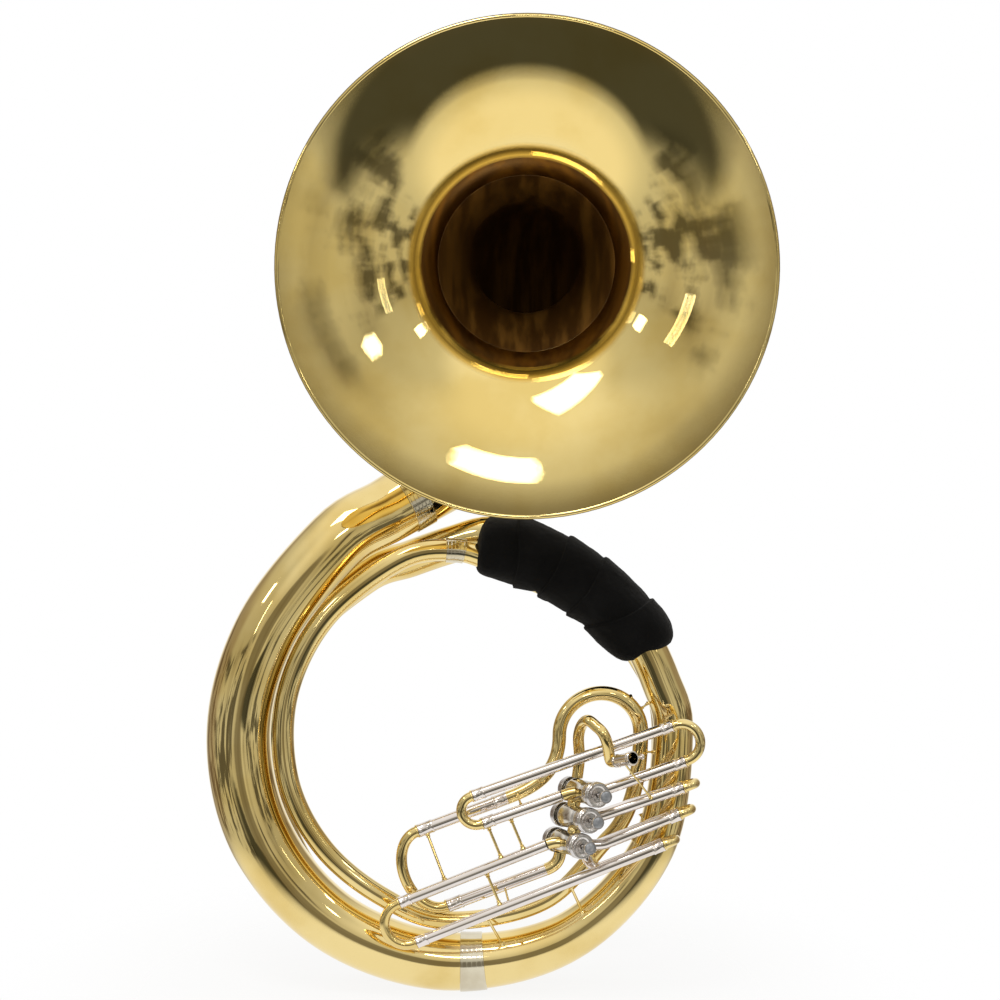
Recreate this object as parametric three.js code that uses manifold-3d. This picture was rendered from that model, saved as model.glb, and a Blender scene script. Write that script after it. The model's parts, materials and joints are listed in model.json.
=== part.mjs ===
// A helicon bass of the forward-bell kind: a body of brass tube wound two and a half times round the
// player, three piston valves with telescoping slides, and a large bell that turns in a collar.
// Millimetres, +Z up, the bell opens towards -Y. The origin is where the pad rests on the shoulder.
import * as THREE from "three";
import { mergeVertices } from "three/addons/utils/BufferGeometryUtils.js";
import Module from "manifold-3d";

const wasm = await Module();
wasm.setup();

const degree = Math.PI / 180;

// Driving dimensions of the body.
const ringRadius = 300;
const branchWall = 1;
const clearance = 0.3;
const bodySides = 14;
const innerSides = 10;
const innerStep = 17;
const rearStep = 16;
const shoulderStep = 15;
const largeStep = 12;

// Driving dimensions of the bell.
const bellRadius = 330;
const flareDepth = 230;
const flareThroat = 40;
const flarePower = 0.75;
const bellWall = 1;
const rimBeadRadius = 3.2;
const elbowRadius = 150;
const bellSides = 26;
const flareSteps = 9;
const elbowSteps = 7;

// Driving dimensions of the collar that holds the bell.
const collarRadius = 57;
const collarWall = 2;
const collarHeight = 46;
const collarSeat = 14;
const collarBead = 1.6;
const turningClearance = 0.45;
const flangeHeight = 6;
const flangeWidth = 3;
const bossRadius = 5.5;
const bossLength = 9;
const screwRadius = 2.6;
const screwHeadRadius = 8;
const screwHeadLength = 5;
const screwWingLength = 11;
const screwWingThickness = 3;
const screwCount = 3;

// Driving dimensions of the valves.
const valvePitch = 38;
const valveRowTilt = 16.5 * degree;
const valveYaw = 25 * degree;
const valveRise = 6.5 * degree;
const casingRadius = 16;
const casingWall = 1.2;
const casingLength = 88;
const capWall = 1.6;
const capPlate = 3;
const capSkirt = 14;
const bottomCapSkirt = 8;
const pistonLength = 62;
const pistonWall = 1;
const pistonStroke = 17;
const pistonPassage = 5.2;
const stemRadius = 2.4;
const stemHole = 4.2;
const buttonRadius = 9.2;
const buttonHeight = 6;
const buttonDish = 1;
const buttonSocket = 4;
const springRadius = 10;
const springWire = 0.8;
const springTurns = 4;
const springStepsPerTurn = 6;
const springSides = 4;
const knuckleRadius = 8;
const knuckleSetback = 59;
const knuckleSides = 6;

// Driving dimensions of the slides.
const slideRadius = 7.8;
const slideWall = 0.9;
const slideSides = 8;
const mainSlideRadius = 8.7;
const firstTilt = 19.8 * degree;
const secondTilt = 19.4 * degree;
const thirdTilt = 22.2 * degree;
const mainTilt = 20.9 * degree;
const frontSetback = 36;
const rearSetback = 66;
const rearFallShare = 0.2;
const legLength = 74;
const mouthLength = 17;
const mainMouthLength = 22;
const crookBead = 3;
const mainReachShare = 0.68;
const slideFerruleWall = 0.8;
const braceRadius = 1.9;
const braceFootRadius = 4.2;
const braceFootThickness = 1.4;
const braceSides = 6;

// Driving dimensions of the mouthpipe.
const leadpipeRadius = 8;
const leadpipeSteps = 9;
const receiverLength = 40;
const receiverRadius = 8.6;
const receiverRimRadius = 10.2;
const receiverRimLength = 7;
const receiverBore = 8;
const receiverTaper = 1.8;
const clampScrewRadius = 1.6;
const clampScrewLength = 9;
const clampHeadRadius = 4.2;
const clampHeadLength = 3;

// Driving dimensions of the shoulder pad.
const padLaps = 6;
const padLapStep = 3.4;
const padSteps = 27;
const padSides = 13;
const padSquareness = 0.72;
const padGap = 0.5;

// The run of the body, turn by turn, clockwise as the listener sees it. Each row is an angle in
// degrees, then the distance from the ring's middle, the depth behind it and the tube's radius,
// as shares of the ring's radius.
const innerTurnShares = [
  [328, 0.906, -0.042, 0.0385],
  [300, 0.917, -0.053, 0.0410],
  [270, 0.885, -0.066, 0.0440],
  [248, 0.830, -0.066, 0.0465],
  [222, 0.795, -0.064, 0.0485],
  [195, 0.780, -0.053, 0.0500],
  [165, 0.781, -0.040, 0.0508],
  [135, 0.808, -0.027, 0.0513],
  [105, 0.872, -0.013, 0.0517],
  [88, 0.885, 0.003, 0.0517],
];
const rearTurnShares = [
  [75, 0.851, 0.033, 0.0520],
  [63, 0.829, 0.100, 0.0525],
  [50, 0.847, 0.168, 0.0533],
  [36, 0.893, 0.205, 0.0543],
  [20, 0.970, 0.220, 0.0553],
  [0, 1.030, 0.220, 0.0567],
  [-33, 1.123, 0.227, 0.0600],
  [-62, 1.163, 0.240, 0.0650],
  [-90, 1.170, 0.253, 0.0700],
];
const shoulderTurnShares = [
  [-118, 1.093, 0.260, 0.0733],
  [-147, 0.970, 0.260, 0.0783],
  [-176, 0.890, 0.263, 0.0817],
  [-207, 0.850, 0.273, 0.0843],
  [-240, 0.817, 0.307, 0.0877],
  [-257, 0.815, 0.320, 0.0893],
  [-271, 0.870, 0.273, 0.0903],
  [-283, 0.953, 0.193, 0.0913],
  [-297, 0.993, 0.097, 0.0920],
  [-312, 1.003, 0.037, 0.0927],
  [-328, 1.020, 0.007, 0.0933],
  [-345, 1.037, 0, 0.0943],
  [-360, 1.065, 0, 0.0960],
  [-390, 1.116, 0, 0.1050],
  [-420, 1.138, 0, 0.1170],
];
const largeTurnShares = [
  [-450, 1.105, 0, 0.1400],
  [-480, 1.067, 0.007, 0.1490],
  [-510, 1.024, 0.017, 0.1580],
  [-540, 0.993, 0.027, 0.1530],
  [-570, 0.992, 0.040, 0.1500],
  [-600, 1.052, 0.133, 0.1510],
  [-615, 1.083, 0.233, 0.1560],
];

// Where the body's branches meet under a ferrule, as angles along the run.
const innerJoint = 88;
const rearJoint = -92;
const bottomJoint = -444;
const ferruleHalfSpan = 3;
const ferruleWall = 1.5;
const ferruleRib = 0.6;
const ribShares = [1, 0, 1, 0, 1];

// Places of the main assemblies, as shares of the ring's radius from its middle.
const stemPlaceShares = [0.364, 0.43, 1.754];
const shoulderPlaceShares = [0.497, 0, 0.61];
const valveRowShares = [0.665, -0.393, -0.318];
const topBranchPullShares = [0.31, 0.21];

// Depths of the slides and the knuckles behind the valves' caps.
const capDepth = valveRowShares[1] * ringRadius;
const frontDepth = capDepth + frontSetback;
const rearDepth = capDepth + rearSetback;
const knuckleDepth = capDepth + knuckleSetback;

// The loop between the main slide and the inner turn.
const loopCentreShares = [0.716, -0.1, 0.031];
const loopRadius = 57.5;
const loopStartRadius = 9.2;
const loopLean = 8;
const loopPull = 50;

// The mouthpipe's way from behind the first valve, over the first slide, to the receiver.
const leadpipeShares = [
  [0.617, -0.173, -0.08],
  [0.613, -0.193, 0.04],
  [0.630, -0.240, 0.106],
  [0.657, -0.293, 0.133],
  [0.698, -0.328, 0.107],
];
const receiverMouthShares = [0.855, -0.467, -0.004];
const receiverAimShares = [0.536, -0.792, 0.291];

// The pad's sections. Each row is an angle in degrees, then the inner and outer distance from
// the ring's middle, the depth of the section's middle and half its depth, as shares of the
// ring's radius.
const padShares = [
  [80.5, 0.772, 1.045, 0.125, 0.205],
  [72, 0.765, 1.078, 0.110, 0.180],
  [62, 0.775, 1.092, 0.092, 0.150],
  [50, 0.802, 1.113, 0.083, 0.168],
  [38, 0.840, 1.137, 0.085, 0.193],
  [23, 0.862, 1.195, 0.090, 0.205],
];

const referenceDepth = new THREE.Vector3(0, 1, 0);
const up = new THREE.Vector3(0, 0, 1);
const sideways = new THREE.Vector3(1, 0, 0);

const brass = new THREE.MeshStandardMaterial({ color: 0xd2b35e, roughness: 0.16, metalness: 1 });
const bellBrass = new THREE.MeshStandardMaterial({ color: 0xd9bd6c, roughness: 0.1, metalness: 1 });
const nickel = new THREE.MeshStandardMaterial({ color: 0xcfccc4, roughness: 0.2, metalness: 1 });
const steel = new THREE.MeshStandardMaterial({ color: 0x9a9da1, roughness: 0.3, metalness: 1 });
const pearl = new THREE.MeshStandardMaterial({ color: 0xd9dcde, roughness: 0.15, metalness: 0.1 });
const cloth = new THREE.MeshStandardMaterial({ color: 0x121213, roughness: 0.95, metalness: 0 });

const model = new THREE.Group();
const instrument = new THREE.Group();
model.add(instrument);

// Scales a row of shares by the ring's radius.
function place(shares) {
  return new THREE.Vector3(...shares).multiplyScalar(ringRadius);
}

instrument.position.copy(place(shoulderPlaceShares)).negate();

function addPiece(name, geometry, material, parent = instrument) {
  const mesh = new THREE.Mesh(geometry, material);
  mesh.name = name;
  parent.add(mesh);
  return mesh;
}

// Turns a closed geometry into a solid for joining and cutting.
function toSolid(geometry) {
  const bare = geometry.clone();
  bare.deleteAttribute("normal");
  bare.deleteAttribute("uv");
  const merged = mergeVertices(bare);
  return new wasm.Manifold(
    new wasm.Mesh({
      numProp: 3,
      vertProperties: new Float32Array(merged.attributes.position.array),
      triVerts: new Uint32Array(merged.index.array),
    }),
  );
}

function toGeometry(solid) {
  const mesh = solid.getMesh();
  const geometry = new THREE.BufferGeometry();
  geometry.setAttribute("position", new THREE.BufferAttribute(mesh.vertProperties, 3));
  geometry.setIndex(new THREE.BufferAttribute(mesh.triVerts, 1));
  geometry.computeVertexNormals();
  return geometry;
}

function join(...geometries) {
  return toGeometry(geometries.map(toSolid).reduce((whole, next) => whole.add(next)));
}

function cut(geometry, ...tools) {
  return toGeometry(tools.map(toSolid).reduce((whole, next) => whole.subtract(next), toSolid(geometry)));
}

// Points and directions at even steps of a curve, from one share of its length to another.
function sample(curve, steps, from = 0, to = 1) {
  return Array.from({ length: steps + 1 }, (unused, i) => {
    const t = from + ((to - from) * i) / steps;
    return { point: curve.getPoint(t), direction: curve.getTangent(t), share: i / steps };
  });
}

// Joins runs of stations end to end, keeping one station where two runs meet.
function chain(...runs) {
  return runs.reduce((whole, run) => [...whole, ...run.slice(1)]);
}

// A ring of points about a station. The reference direction sets where the first point lies.
function ringPoints(station, radius, sides, reference) {
  const along = station.direction.clone().normalize();
  const side = reference.clone().addScaledVector(along, -reference.dot(along)).normalize();
  const across = new THREE.Vector3().crossVectors(along, side);
  return Array.from({ length: sides }, (unused, i) => {
    const turn = (2 * Math.PI * i) / sides;
    return station.point
      .clone()
      .addScaledVector(side, radius * Math.cos(turn))
      .addScaledVector(across, radius * Math.sin(turn));
  });
}

// Skins a list of rings with equal counts. Open lists get a flat cap at each end.
function skinRings(rings, closed) {
  const sides = rings[0].length;
  const positions = rings.flat().flatMap((p) => p.toArray());
  const index = [];
  const joints = closed ? rings.length : rings.length - 1;
  for (let i = 0; i < joints; i++) {
    const near = i * sides;
    const far = ((i + 1) % rings.length) * sides;
    for (let j = 0; j < sides; j++) {
      const next = (j + 1) % sides;
      index.push(near + j, near + next, far + j);
      index.push(near + next, far + next, far + j);
    }
  }
  if (!closed) {
    const last = (rings.length - 1) * sides;
    for (let j = 1; j < sides - 1; j++) {
      index.push(0, j + 1, j);
      index.push(last, last + j, last + j + 1);
    }
  }
  const geometry = new THREE.BufferGeometry();
  geometry.setAttribute("position", new THREE.Float32BufferAttribute(positions, 3));
  geometry.setIndex(index);
  geometry.computeVertexNormals();
  return geometry;
}

// A tube open at both ends. The radius is a number, or a function of the station.
function tube(stations, radius, wall, sides, reference = referenceDepth) {
  const radiusAt = typeof radius === "number" ? () => radius : radius;
  const outer = stations.map((s) => ringPoints(s, radiusAt(s), sides, reference));
  const inner = stations.map((s) => ringPoints(s, radiusAt(s) - wall, sides, reference));
  return skinRings([...outer, ...inner.reverse()], true);
}

// A solid bar along the stations, used for bores, pins and braces.
function bar(stations, radius, sides, reference = referenceDepth) {
  const radiusAt = typeof radius === "number" ? () => radius : radius;
  return skinRings(stations.map((s) => ringPoints(s, radiusAt(s), sides, reference)), false);
}

function straight(from, to, steps = 1) {
  return sample(new THREE.LineCurve3(from, to), steps);
}

// A reference direction square to a straight bar.
function squareTo(direction) {
  return Math.abs(direction.y) < Math.SQRT1_2 * direction.length() ? referenceDepth : up;
}

function rod(from, to, radius, sides = braceSides) {
  return bar(straight(from, to), radius, sides, squareTo(to.clone().sub(from)));
}

// Half a turn from one leg of a slide to the other, in the plane of both legs. A reach share
// below one makes it flatter than round.
function bow(start, end, outward, steps, reachShare = 1) {
  const middle = start.clone().lerp(end, 0.5);
  const arm = start.clone().sub(middle);
  const reach = outward.clone().setLength(arm.length() * reachShare);
  return Array.from({ length: steps + 1 }, (unused, i) => {
    const turn = (Math.PI * i) / steps;
    return {
      point: middle.clone().addScaledVector(arm, Math.cos(turn)).addScaledVector(reach, Math.sin(turn)),
      direction: reach.clone().multiplyScalar(Math.cos(turn)).addScaledVector(arm, -Math.sin(turn)),
    };
  });
}

// A post with a foot at each end. It grows from the wall of the tube that carries it and stops
// just short of its neighbour.
function brace(from, fromRadius, to, toRadius) {
  const along = to.clone().sub(from).normalize();
  const start = from.clone().addScaledVector(along, fromRadius - slideWall * 0.6);
  const footTop = from.clone().addScaledVector(along, fromRadius + braceFootThickness);
  const end = to.clone().addScaledVector(along, -toRadius - clearance);
  const footBase = end.clone().addScaledVector(along, -braceFootThickness);
  return [
    rod(start, footTop, braceFootRadius),
    rod(start, end, braceRadius),
    rod(footBase, end, braceFootRadius),
  ];
}

// The run of the body as one smooth curve, with the tube's radius carried beside it.
const runRows = [...innerTurnShares, ...rearTurnShares, ...shoulderTurnShares, ...largeTurnShares];
const runCurve = new THREE.CatmullRomCurve3(
  runRows.map(([angle, radius, depth]) =>
    place([radius * Math.cos(angle * degree), depth, radius * Math.sin(angle * degree)]),
  ),
  false,
  "catmullrom",
);
const runAngles = runRows.map((row) => row[0]);
const runRadii = runRows.map((row) => row[3] * ringRadius);

// The share of the run's knots at an angle.
function runShare(angle) {
  const last = runAngles.length - 1;
  let i = 0;
  while (i < last - 1 && runAngles[i + 1] > angle) i++;
  return (i + (runAngles[i] - angle) / (runAngles[i] - runAngles[i + 1])) / last;
}

function runRadius(share) {
  const row = share * (runRadii.length - 1);
  const i = Math.min(Math.floor(row), runRadii.length - 2);
  return THREE.MathUtils.lerp(runRadii[i], runRadii[i + 1], row - i);
}

function runStation(angle) {
  const share = runShare(angle);
  return {
    angle,
    point: runCurve.getPoint(share),
    direction: runCurve.getTangent(share),
    radius: runRadius(share),
  };
}

// Stations of the run between two angles, at even angles no further apart than a step.
function runStations(from, to, step) {
  const count = Math.max(1, Math.round(Math.abs(to - from) / step));
  return Array.from({ length: count + 1 }, (unused, i) => runStation(from + ((to - from) * i) / count));
}

const stationRadius = (station) => station.radius;
const endGap = clearance / (2 * ringRadius) / degree;

// The inside radius of a faceted sleeve that clears the tubes it joins, whose facets may not be its own.
function sleeveRadius(radius, sides, tubeSides) {
  return sides === tubeSides ? radius + clearance : (radius + clearance / 3) / Math.cos(Math.PI / sides);
}

// A ribbed sleeve over the joint of two branches.
function ferrule(angle, sides, tubeSides = sides) {
  const stations = ribShares.map((rib, i) => {
    const station = runStation(angle + ferruleHalfSpan * (1 - (2 * i) / (ribShares.length - 1)));
    return { ...station, rib };
  });
  const outer = stations.map((s) =>
    ringPoints(s, sleeveRadius(s.radius, sides, tubeSides) + ferruleWall + s.rib * ferruleRib, sides, referenceDepth),
  );
  const inner = stations.map((s) => ringPoints(s, sleeveRadius(s.radius, sides, tubeSides), sides, referenceDepth));
  return skinRings([...outer, ...inner.reverse()], true);
}

// The stations under a ferrule are shared, so that tube and sleeve lie facet on facet.
function branchStations(from, to, step) {
  return chain(
    runStations(from - endGap, from - ferruleHalfSpan, ferruleHalfSpan / 2),
    runStations(from - ferruleHalfSpan, to + ferruleHalfSpan, step),
    runStations(to + ferruleHalfSpan, to + endGap, ferruleHalfSpan / 2),
  );
}

const rearStations = branchStations(innerJoint, rearJoint, rearStep);
const shoulderStations = branchStations(rearJoint, bottomJoint, shoulderStep);

const shoulderFront = shoulderStations.filter((station) => station.angle < -360);

// The last branch leaves the ring and rises into the collar.
const stemPlace = place(stemPlaceShares);
const collarBase = stemPlace.clone().addScaledVector(up, -flangeHeight - collarHeight);
const branchTop = collarBase.clone().addScaledVector(up, collarSeat);
const runEnd = runStation(runAngles[runAngles.length - 1]);
const topCurve = new THREE.CubicBezierCurve3(
  runEnd.point,
  runEnd.point.clone().addScaledVector(runEnd.direction, topBranchPullShares[0] * ringRadius),
  collarBase.clone().addScaledVector(up, -topBranchPullShares[1] * ringRadius),
  collarBase,
);
function topStations(from, to, steps) {
  return sample(topCurve, steps, from, to).map((station, i) => {
    const share = from + ((to - from) * i) / steps;
    return { ...station, radius: THREE.MathUtils.lerp(runEnd.radius, collarRadius, share) };
  });
}
const topSteps = 7;
const topJointShare = 0.12;
const topJointHalf = 0.05;
const topGap = 0.0008;

function buildBody() {
  const innerStart = runAngles[0];
  addPiece(
    "inner_branch",
    tube(
      chain(
        runStations(innerStart - endGap, innerJoint + ferruleHalfSpan, innerStep),
        runStations(innerJoint + ferruleHalfSpan, innerJoint + endGap, ferruleHalfSpan / 2),
      ),
      stationRadius,
      branchWall,
      innerSides,
    ),
    brass,
  );
  addPiece("inner_ferrule", ferrule(innerJoint, innerSides), nickel);
  addPiece("rear_branch", tube(rearStations, stationRadius, branchWall, innerSides), brass);
  addPiece("rear_ferrule", ferrule(rearJoint, innerSides), nickel);
  addPiece("shoulder_branch", tube(shoulderStations, stationRadius, branchWall, innerSides), brass);
  addPiece("bottom_ferrule", ferrule(bottomJoint, bodySides, innerSides), nickel);
  const largeStations = chain(
    runStations(bottomJoint - endGap, bottomJoint - ferruleHalfSpan, ferruleHalfSpan / 2),
    runStations(bottomJoint - ferruleHalfSpan, runAngles[runAngles.length - 1], largeStep),
    topStations(0, topJointShare - topJointHalf, 1),
    topStations(topJointShare - topJointHalf, topJointShare - topGap, 2),
  );
  addPiece("large_branch", tube(largeStations, stationRadius, branchWall, bodySides), brass);
  addPiece("top_ferrule", topFerrule(), nickel);
  const bellStations = chain(
    topStations(topJointShare + topGap, topJointShare + topJointHalf, 2),
    topStations(topJointShare + topJointHalf, 1, topSteps),
    [{ point: collarBase, direction: up, radius: collarRadius }, { point: branchTop, direction: up, radius: collarRadius }],
  );
  addPiece("bell_branch", tube(bellStations, stationRadius, branchWall, bodySides), brass);
}

function topFerrule() {
  const stations = topStations(topJointShare - topJointHalf, topJointShare + topJointHalf, ribShares.length - 1);
  const outer = stations.map((s, i) =>
    ringPoints(s, s.radius + clearance + ferruleWall + ribShares[i] * ferruleRib, bodySides, referenceDepth),
  );
  const inner = stations.map((s) => ringPoints(s, s.radius + clearance, bodySides, referenceDepth));
  return skinRings([...outer, ...inner.reverse()], true);
}

// The bell: a flare that follows a power law, an elbow and the tenon that stands in the collar.
function flareRadius(depth) {
  return bellRadius * Math.pow(flareThroat / (depth + flareThroat), flarePower);
}

function buildBell() {
  const axisFoot = stemPlace.clone().addScaledVector(up, elbowRadius);
  const flareEnd = axisFoot.clone().addScaledVector(referenceDepth, -elbowRadius);
  const elbowCentre = stemPlace.clone().addScaledVector(referenceDepth, -elbowRadius);
  const spin = up;
  const rimPoint = flareEnd.clone().addScaledVector(referenceDepth, -flareDepth);
  const at = (depth) => rimPoint.clone().addScaledVector(referenceDepth, depth);
  const inner = [];
  const outer = [];
  for (let i = 1; i <= flareSteps; i++) {
    const depth = flareDepth * Math.pow(i / flareSteps, 2);
    const slope = (flareRadius(depth + bellWall) - flareRadius(depth)) / bellWall;
    const stretch = Math.hypot(1, slope);
    inner.push(ringPoints({ point: at(depth), direction: referenceDepth }, flareRadius(depth), bellSides, spin));
    const back = { point: at(depth - (bellWall * slope) / stretch), direction: referenceDepth };
    outer.push(ringPoints(back, flareRadius(depth) + bellWall / stretch, bellSides, spin));
  }
  const throatRadius = flareRadius(flareDepth) + bellWall;
  for (let i = 1; i <= elbowSteps; i++) {
    const turn = (Math.PI * i) / (2 * elbowSteps);
    const station = {
      point: elbowCentre
        .clone()
        .addScaledVector(up, elbowRadius * Math.cos(turn))
        .addScaledVector(referenceDepth, elbowRadius * Math.sin(turn)),
      direction: referenceDepth.clone().multiplyScalar(Math.cos(turn)).addScaledVector(up, -Math.sin(turn)),
    };
    const share = Math.pow(i / elbowSteps, 0.85);
    const radius = THREE.MathUtils.lerp(throatRadius, collarRadius + bellWall, share);
    const reference = sideways.clone().cross(station.direction);
    outer.push(ringPoints(station, radius, bellSides, reference));
    inner.push(ringPoints(station, radius - bellWall, bellSides, reference));
  }
  const down = up.clone().negate();
  const stemReference = sideways.clone().cross(down);
  const level = (drop, radius) =>
    ringPoints({ point: stemPlace.clone().addScaledVector(down, drop), direction: down }, radius, bellSides, stemReference);
  const tenonFoot = flangeHeight + collarHeight - collarSeat - clearance;
  outer.push(level(flangeHeight / 6, collarRadius + flangeWidth));
  outer.push(level(flangeHeight - clearance, collarRadius + flangeWidth));
  outer.push(level(flangeHeight - clearance / 2, collarRadius));
  outer.push(level(tenonFoot, collarRadius));
  inner.push(level(tenonFoot, collarRadius - bellWall));
  const beadCentre = { depth: rimBeadRadius * 0.8, radius: bellRadius - rimBeadRadius };
  const bead = [-0.15, 0.25, 0.6, 0.95].map((share) => {
    const turn = Math.PI * (share * 1.35 - 0.55);
    const station = { point: at(beadCentre.depth + rimBeadRadius * Math.sin(turn)), direction: referenceDepth };
    return ringPoints(station, beadCentre.radius + rimBeadRadius * Math.cos(turn), bellSides, spin);
  });
  addPiece("bell", skinRings([...bead, ...outer, ...inner.reverse()], true), bellBrass);
}

// Collar, thumbscrews and the frame of each boss round the stem.
const collarPlace = collarBase;
const collarBore = collarRadius + turningClearance;
const bossHeight = (collarSeat + collarHeight) / 2;

function screwPlace(i) {
  const frame = new THREE.Group();
  frame.position.copy(collarPlace).addScaledVector(up, bossHeight);
  frame.rotation.z = (i / screwCount) * 2 * Math.PI + Math.PI / 2;
  frame.updateMatrix();
  return frame;
}

// A bar along the local X axis, from one distance to another.
function radialBar(from, to, radius, sides = braceSides) {
  return rod(new THREE.Vector3(from, 0, 0), new THREE.Vector3(to, 0, 0), radius, sides);
}

function buildCollar() {
  const outer = collarBore + collarWall;
  const profile = [
    [collarBore, 0],
    [outer + collarBead, 0],
    [outer + collarBead, 2 * collarBead],
    [outer, 3 * collarBead],
    [outer, collarHeight - 3 * collarBead],
    [outer + collarBead, collarHeight - 2 * collarBead],
    [outer + collarBead, collarHeight - clearance],
    [collarBore, collarHeight - clearance],
    [collarBore, 0],
  ];
  const sleeve = turned(profile, bellSides).translate(...collarPlace.toArray());
  const bosses = [];
  const holes = [];
  for (let i = 0; i < screwCount; i++) {
    const frame = screwPlace(i);
    bosses.push(radialBar(collarBore + collarWall / 2, outer + bossLength, bossRadius).applyMatrix4(frame.matrix));
    holes.push(
      radialBar(collarRadius - collarWall, outer + 2 * bossLength, screwRadius + clearance).applyMatrix4(frame.matrix),
    );
    const shank = radialBar(collarRadius + clearance, outer + bossLength + screwHeadLength, screwRadius);
    const head = radialBar(
      outer + bossLength + clearance,
      outer + bossLength + screwHeadLength,
      screwHeadRadius,
      innerSides,
    );
    const wing = new THREE.BoxGeometry(screwWingLength, screwWingThickness, 2 * screwHeadRadius);
    wing.translate(outer + bossLength + screwHeadLength + screwWingLength / 3, 0, 0);
    addPiece("collar_screw_" + (i + 1), join(shank, head, wing).applyMatrix4(frame.matrix), steel);
  }
  addPiece("bell_collar", cut(join(sleeve, ...bosses), ...holes), nickel);
}

// Valves. Each stands in a frame whose Z axis runs out of the top cap, from the cap's face.
const valveAxis = new THREE.Vector3(0, -Math.cos(valveRise), Math.sin(valveRise)).applyAxisAngle(up, valveYaw);
const valveRow = new THREE.Vector3(Math.sin(valveRowTilt), 0, Math.cos(valveRowTilt));
const casingTop = -capPlate - clearance;
const casingFoot = casingTop - casingLength;
const pistonTop = casingTop;
const pistonFoot = pistonTop - pistonLength;
const pistonRadius = casingRadius - casingWall - clearance;
const casingSides = 10;
const buttonBase = pistonStroke + 2 * clearance;

function valvePlace(i) {
  return place(valveRowShares).addScaledVector(valveRow, (1 - i) * valvePitch);
}

function valveFrame(i) {
  const frame = new THREE.Group();
  const across = new THREE.Vector3().crossVectors(up, valveAxis).normalize();
  const upright = new THREE.Vector3().crossVectors(valveAxis, across);
  frame.setRotationFromMatrix(new THREE.Matrix4().makeBasis(across, upright, valveAxis));
  frame.position.copy(valvePlace(i));
  frame.updateMatrix();
  return frame;
}

// The point of a valve's axis at a depth.
function valvePointAt(i, depth) {
  const cap = valvePlace(i);
  return cap.addScaledVector(valveAxis, (depth - cap.y) / valveAxis.y);
}

// Turns a closed profile of radius and height about the Z axis, whichever way it was listed.
function turned(profile, sides = casingSides) {
  const area = profile.slice(1).reduce((sum, [r, h], i) => sum + profile[i][0] * h - r * profile[i][1], 0);
  const ordered = area > 0 ? profile : [...profile].reverse();
  const points = ordered.map(([radius, height]) => new THREE.Vector2(radius, height));
  return new THREE.LatheGeometry(points, sides).rotateX(Math.PI / 2);
}

// The casing as a cutter, for tubes that are saddled onto it.
function casingSaddle(i) {
  const frame = valveFrame(i);
  const foot = new THREE.Vector3(0, 0, casingFoot - capSkirt);
  const top = new THREE.Vector3(0, 0, capSkirt);
  return bar(straight(foot, top), casingRadius + clearance, casingSides, referenceDepth).applyMatrix4(frame.matrix);
}

function buildSpring() {
  const foot = casingFoot + clearance + springWire;
  const top = pistonFoot - clearance - springWire;
  const count = Math.round(springTurns * springStepsPerTurn);
  const rings = Array.from({ length: count + 1 }, (unused, i) => {
    const turn = (2 * Math.PI * i) / springStepsPerTurn;
    const station = {
      point: new THREE.Vector3(
        springRadius * Math.cos(turn),
        springRadius * Math.sin(turn),
        THREE.MathUtils.lerp(foot, top, i / count),
      ),
      direction: new THREE.Vector3(-Math.sin(turn), Math.cos(turn), 0),
    };
    return ringPoints(station, springWire, springSides, up);
  });
  return skinRings(rings, false);
}

// A piston: a thin shell with two slanted passages that are open at both sides.
function buildPiston() {
  const floor = pistonTop - 2 * capPlate;
  const shell = turned([
    [0, pistonTop],
    [pistonRadius, pistonTop],
    [pistonRadius, pistonFoot],
    [pistonRadius - pistonWall, pistonFoot],
    [pistonRadius - pistonWall, floor],
    [0, floor],
  ]);
  const stem = rod(
    new THREE.Vector3(0, 0, pistonTop - capPlate),
    new THREE.Vector3(0, 0, buttonBase + buttonSocket - clearance),
    stemRadius,
  );
  const reach = 2 * pistonRadius;
  const lean = pistonPassage;
  const passages = [1, 2].map((row) => {
    const height = pistonTop - (pistonLength * row) / 3;
    const from = new THREE.Vector3(-reach, 0, height - lean);
    const to = new THREE.Vector3(reach, 0, height + lean);
    return { from, to };
  });
  const body = [shell, stem, ...passages.map((p) => rod(p.from, p.to, pistonPassage + pistonWall, braceSides))];
  const envelope = turned([
    [0, buttonHeight * 9],
    [pistonRadius, buttonHeight * 9],
    [pistonRadius, pistonFoot],
    [0, pistonFoot],
  ]);
  const whole = toSolid(join(...body)).intersect(toSolid(envelope));
  return cut(toGeometry(whole), ...passages.map((p) => rod(p.from, p.to, pistonPassage, braceSides)));
}

function buildButton() {
  const base = buttonBase;
  return turned([
    [stemRadius + clearance, base],
    [buttonRadius * 0.7, base],
    [buttonRadius, base + buttonHeight * 0.35],
    [buttonRadius, base + buttonHeight],
    [buttonRadius - buttonDish, base + buttonHeight],
    [buttonRadius * 0.5, base + buttonHeight + buttonDish],
    [0, base + buttonHeight + buttonDish * 1.3],
    [0, base + buttonSocket],
    [stemRadius + clearance, base + buttonSocket],
    [stemRadius + clearance, base],
  ], innerSides);
}

function buildTopCap() {
  const bore = casingRadius + clearance;
  const outer = bore + capWall;
  return turned([
    [bore, -capSkirt],
    [outer, -capSkirt],
    [outer, -capPlate],
    [outer - capWall / 2, 0],
    [casingRadius * 0.72, 0],
    [casingRadius * 0.6, -capPlate * 0.4],
    [stemHole, -capPlate * 0.4],
    [stemHole, -capPlate],
    [bore, -capPlate],
    [bore, -capSkirt],
  ]);
}

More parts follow.
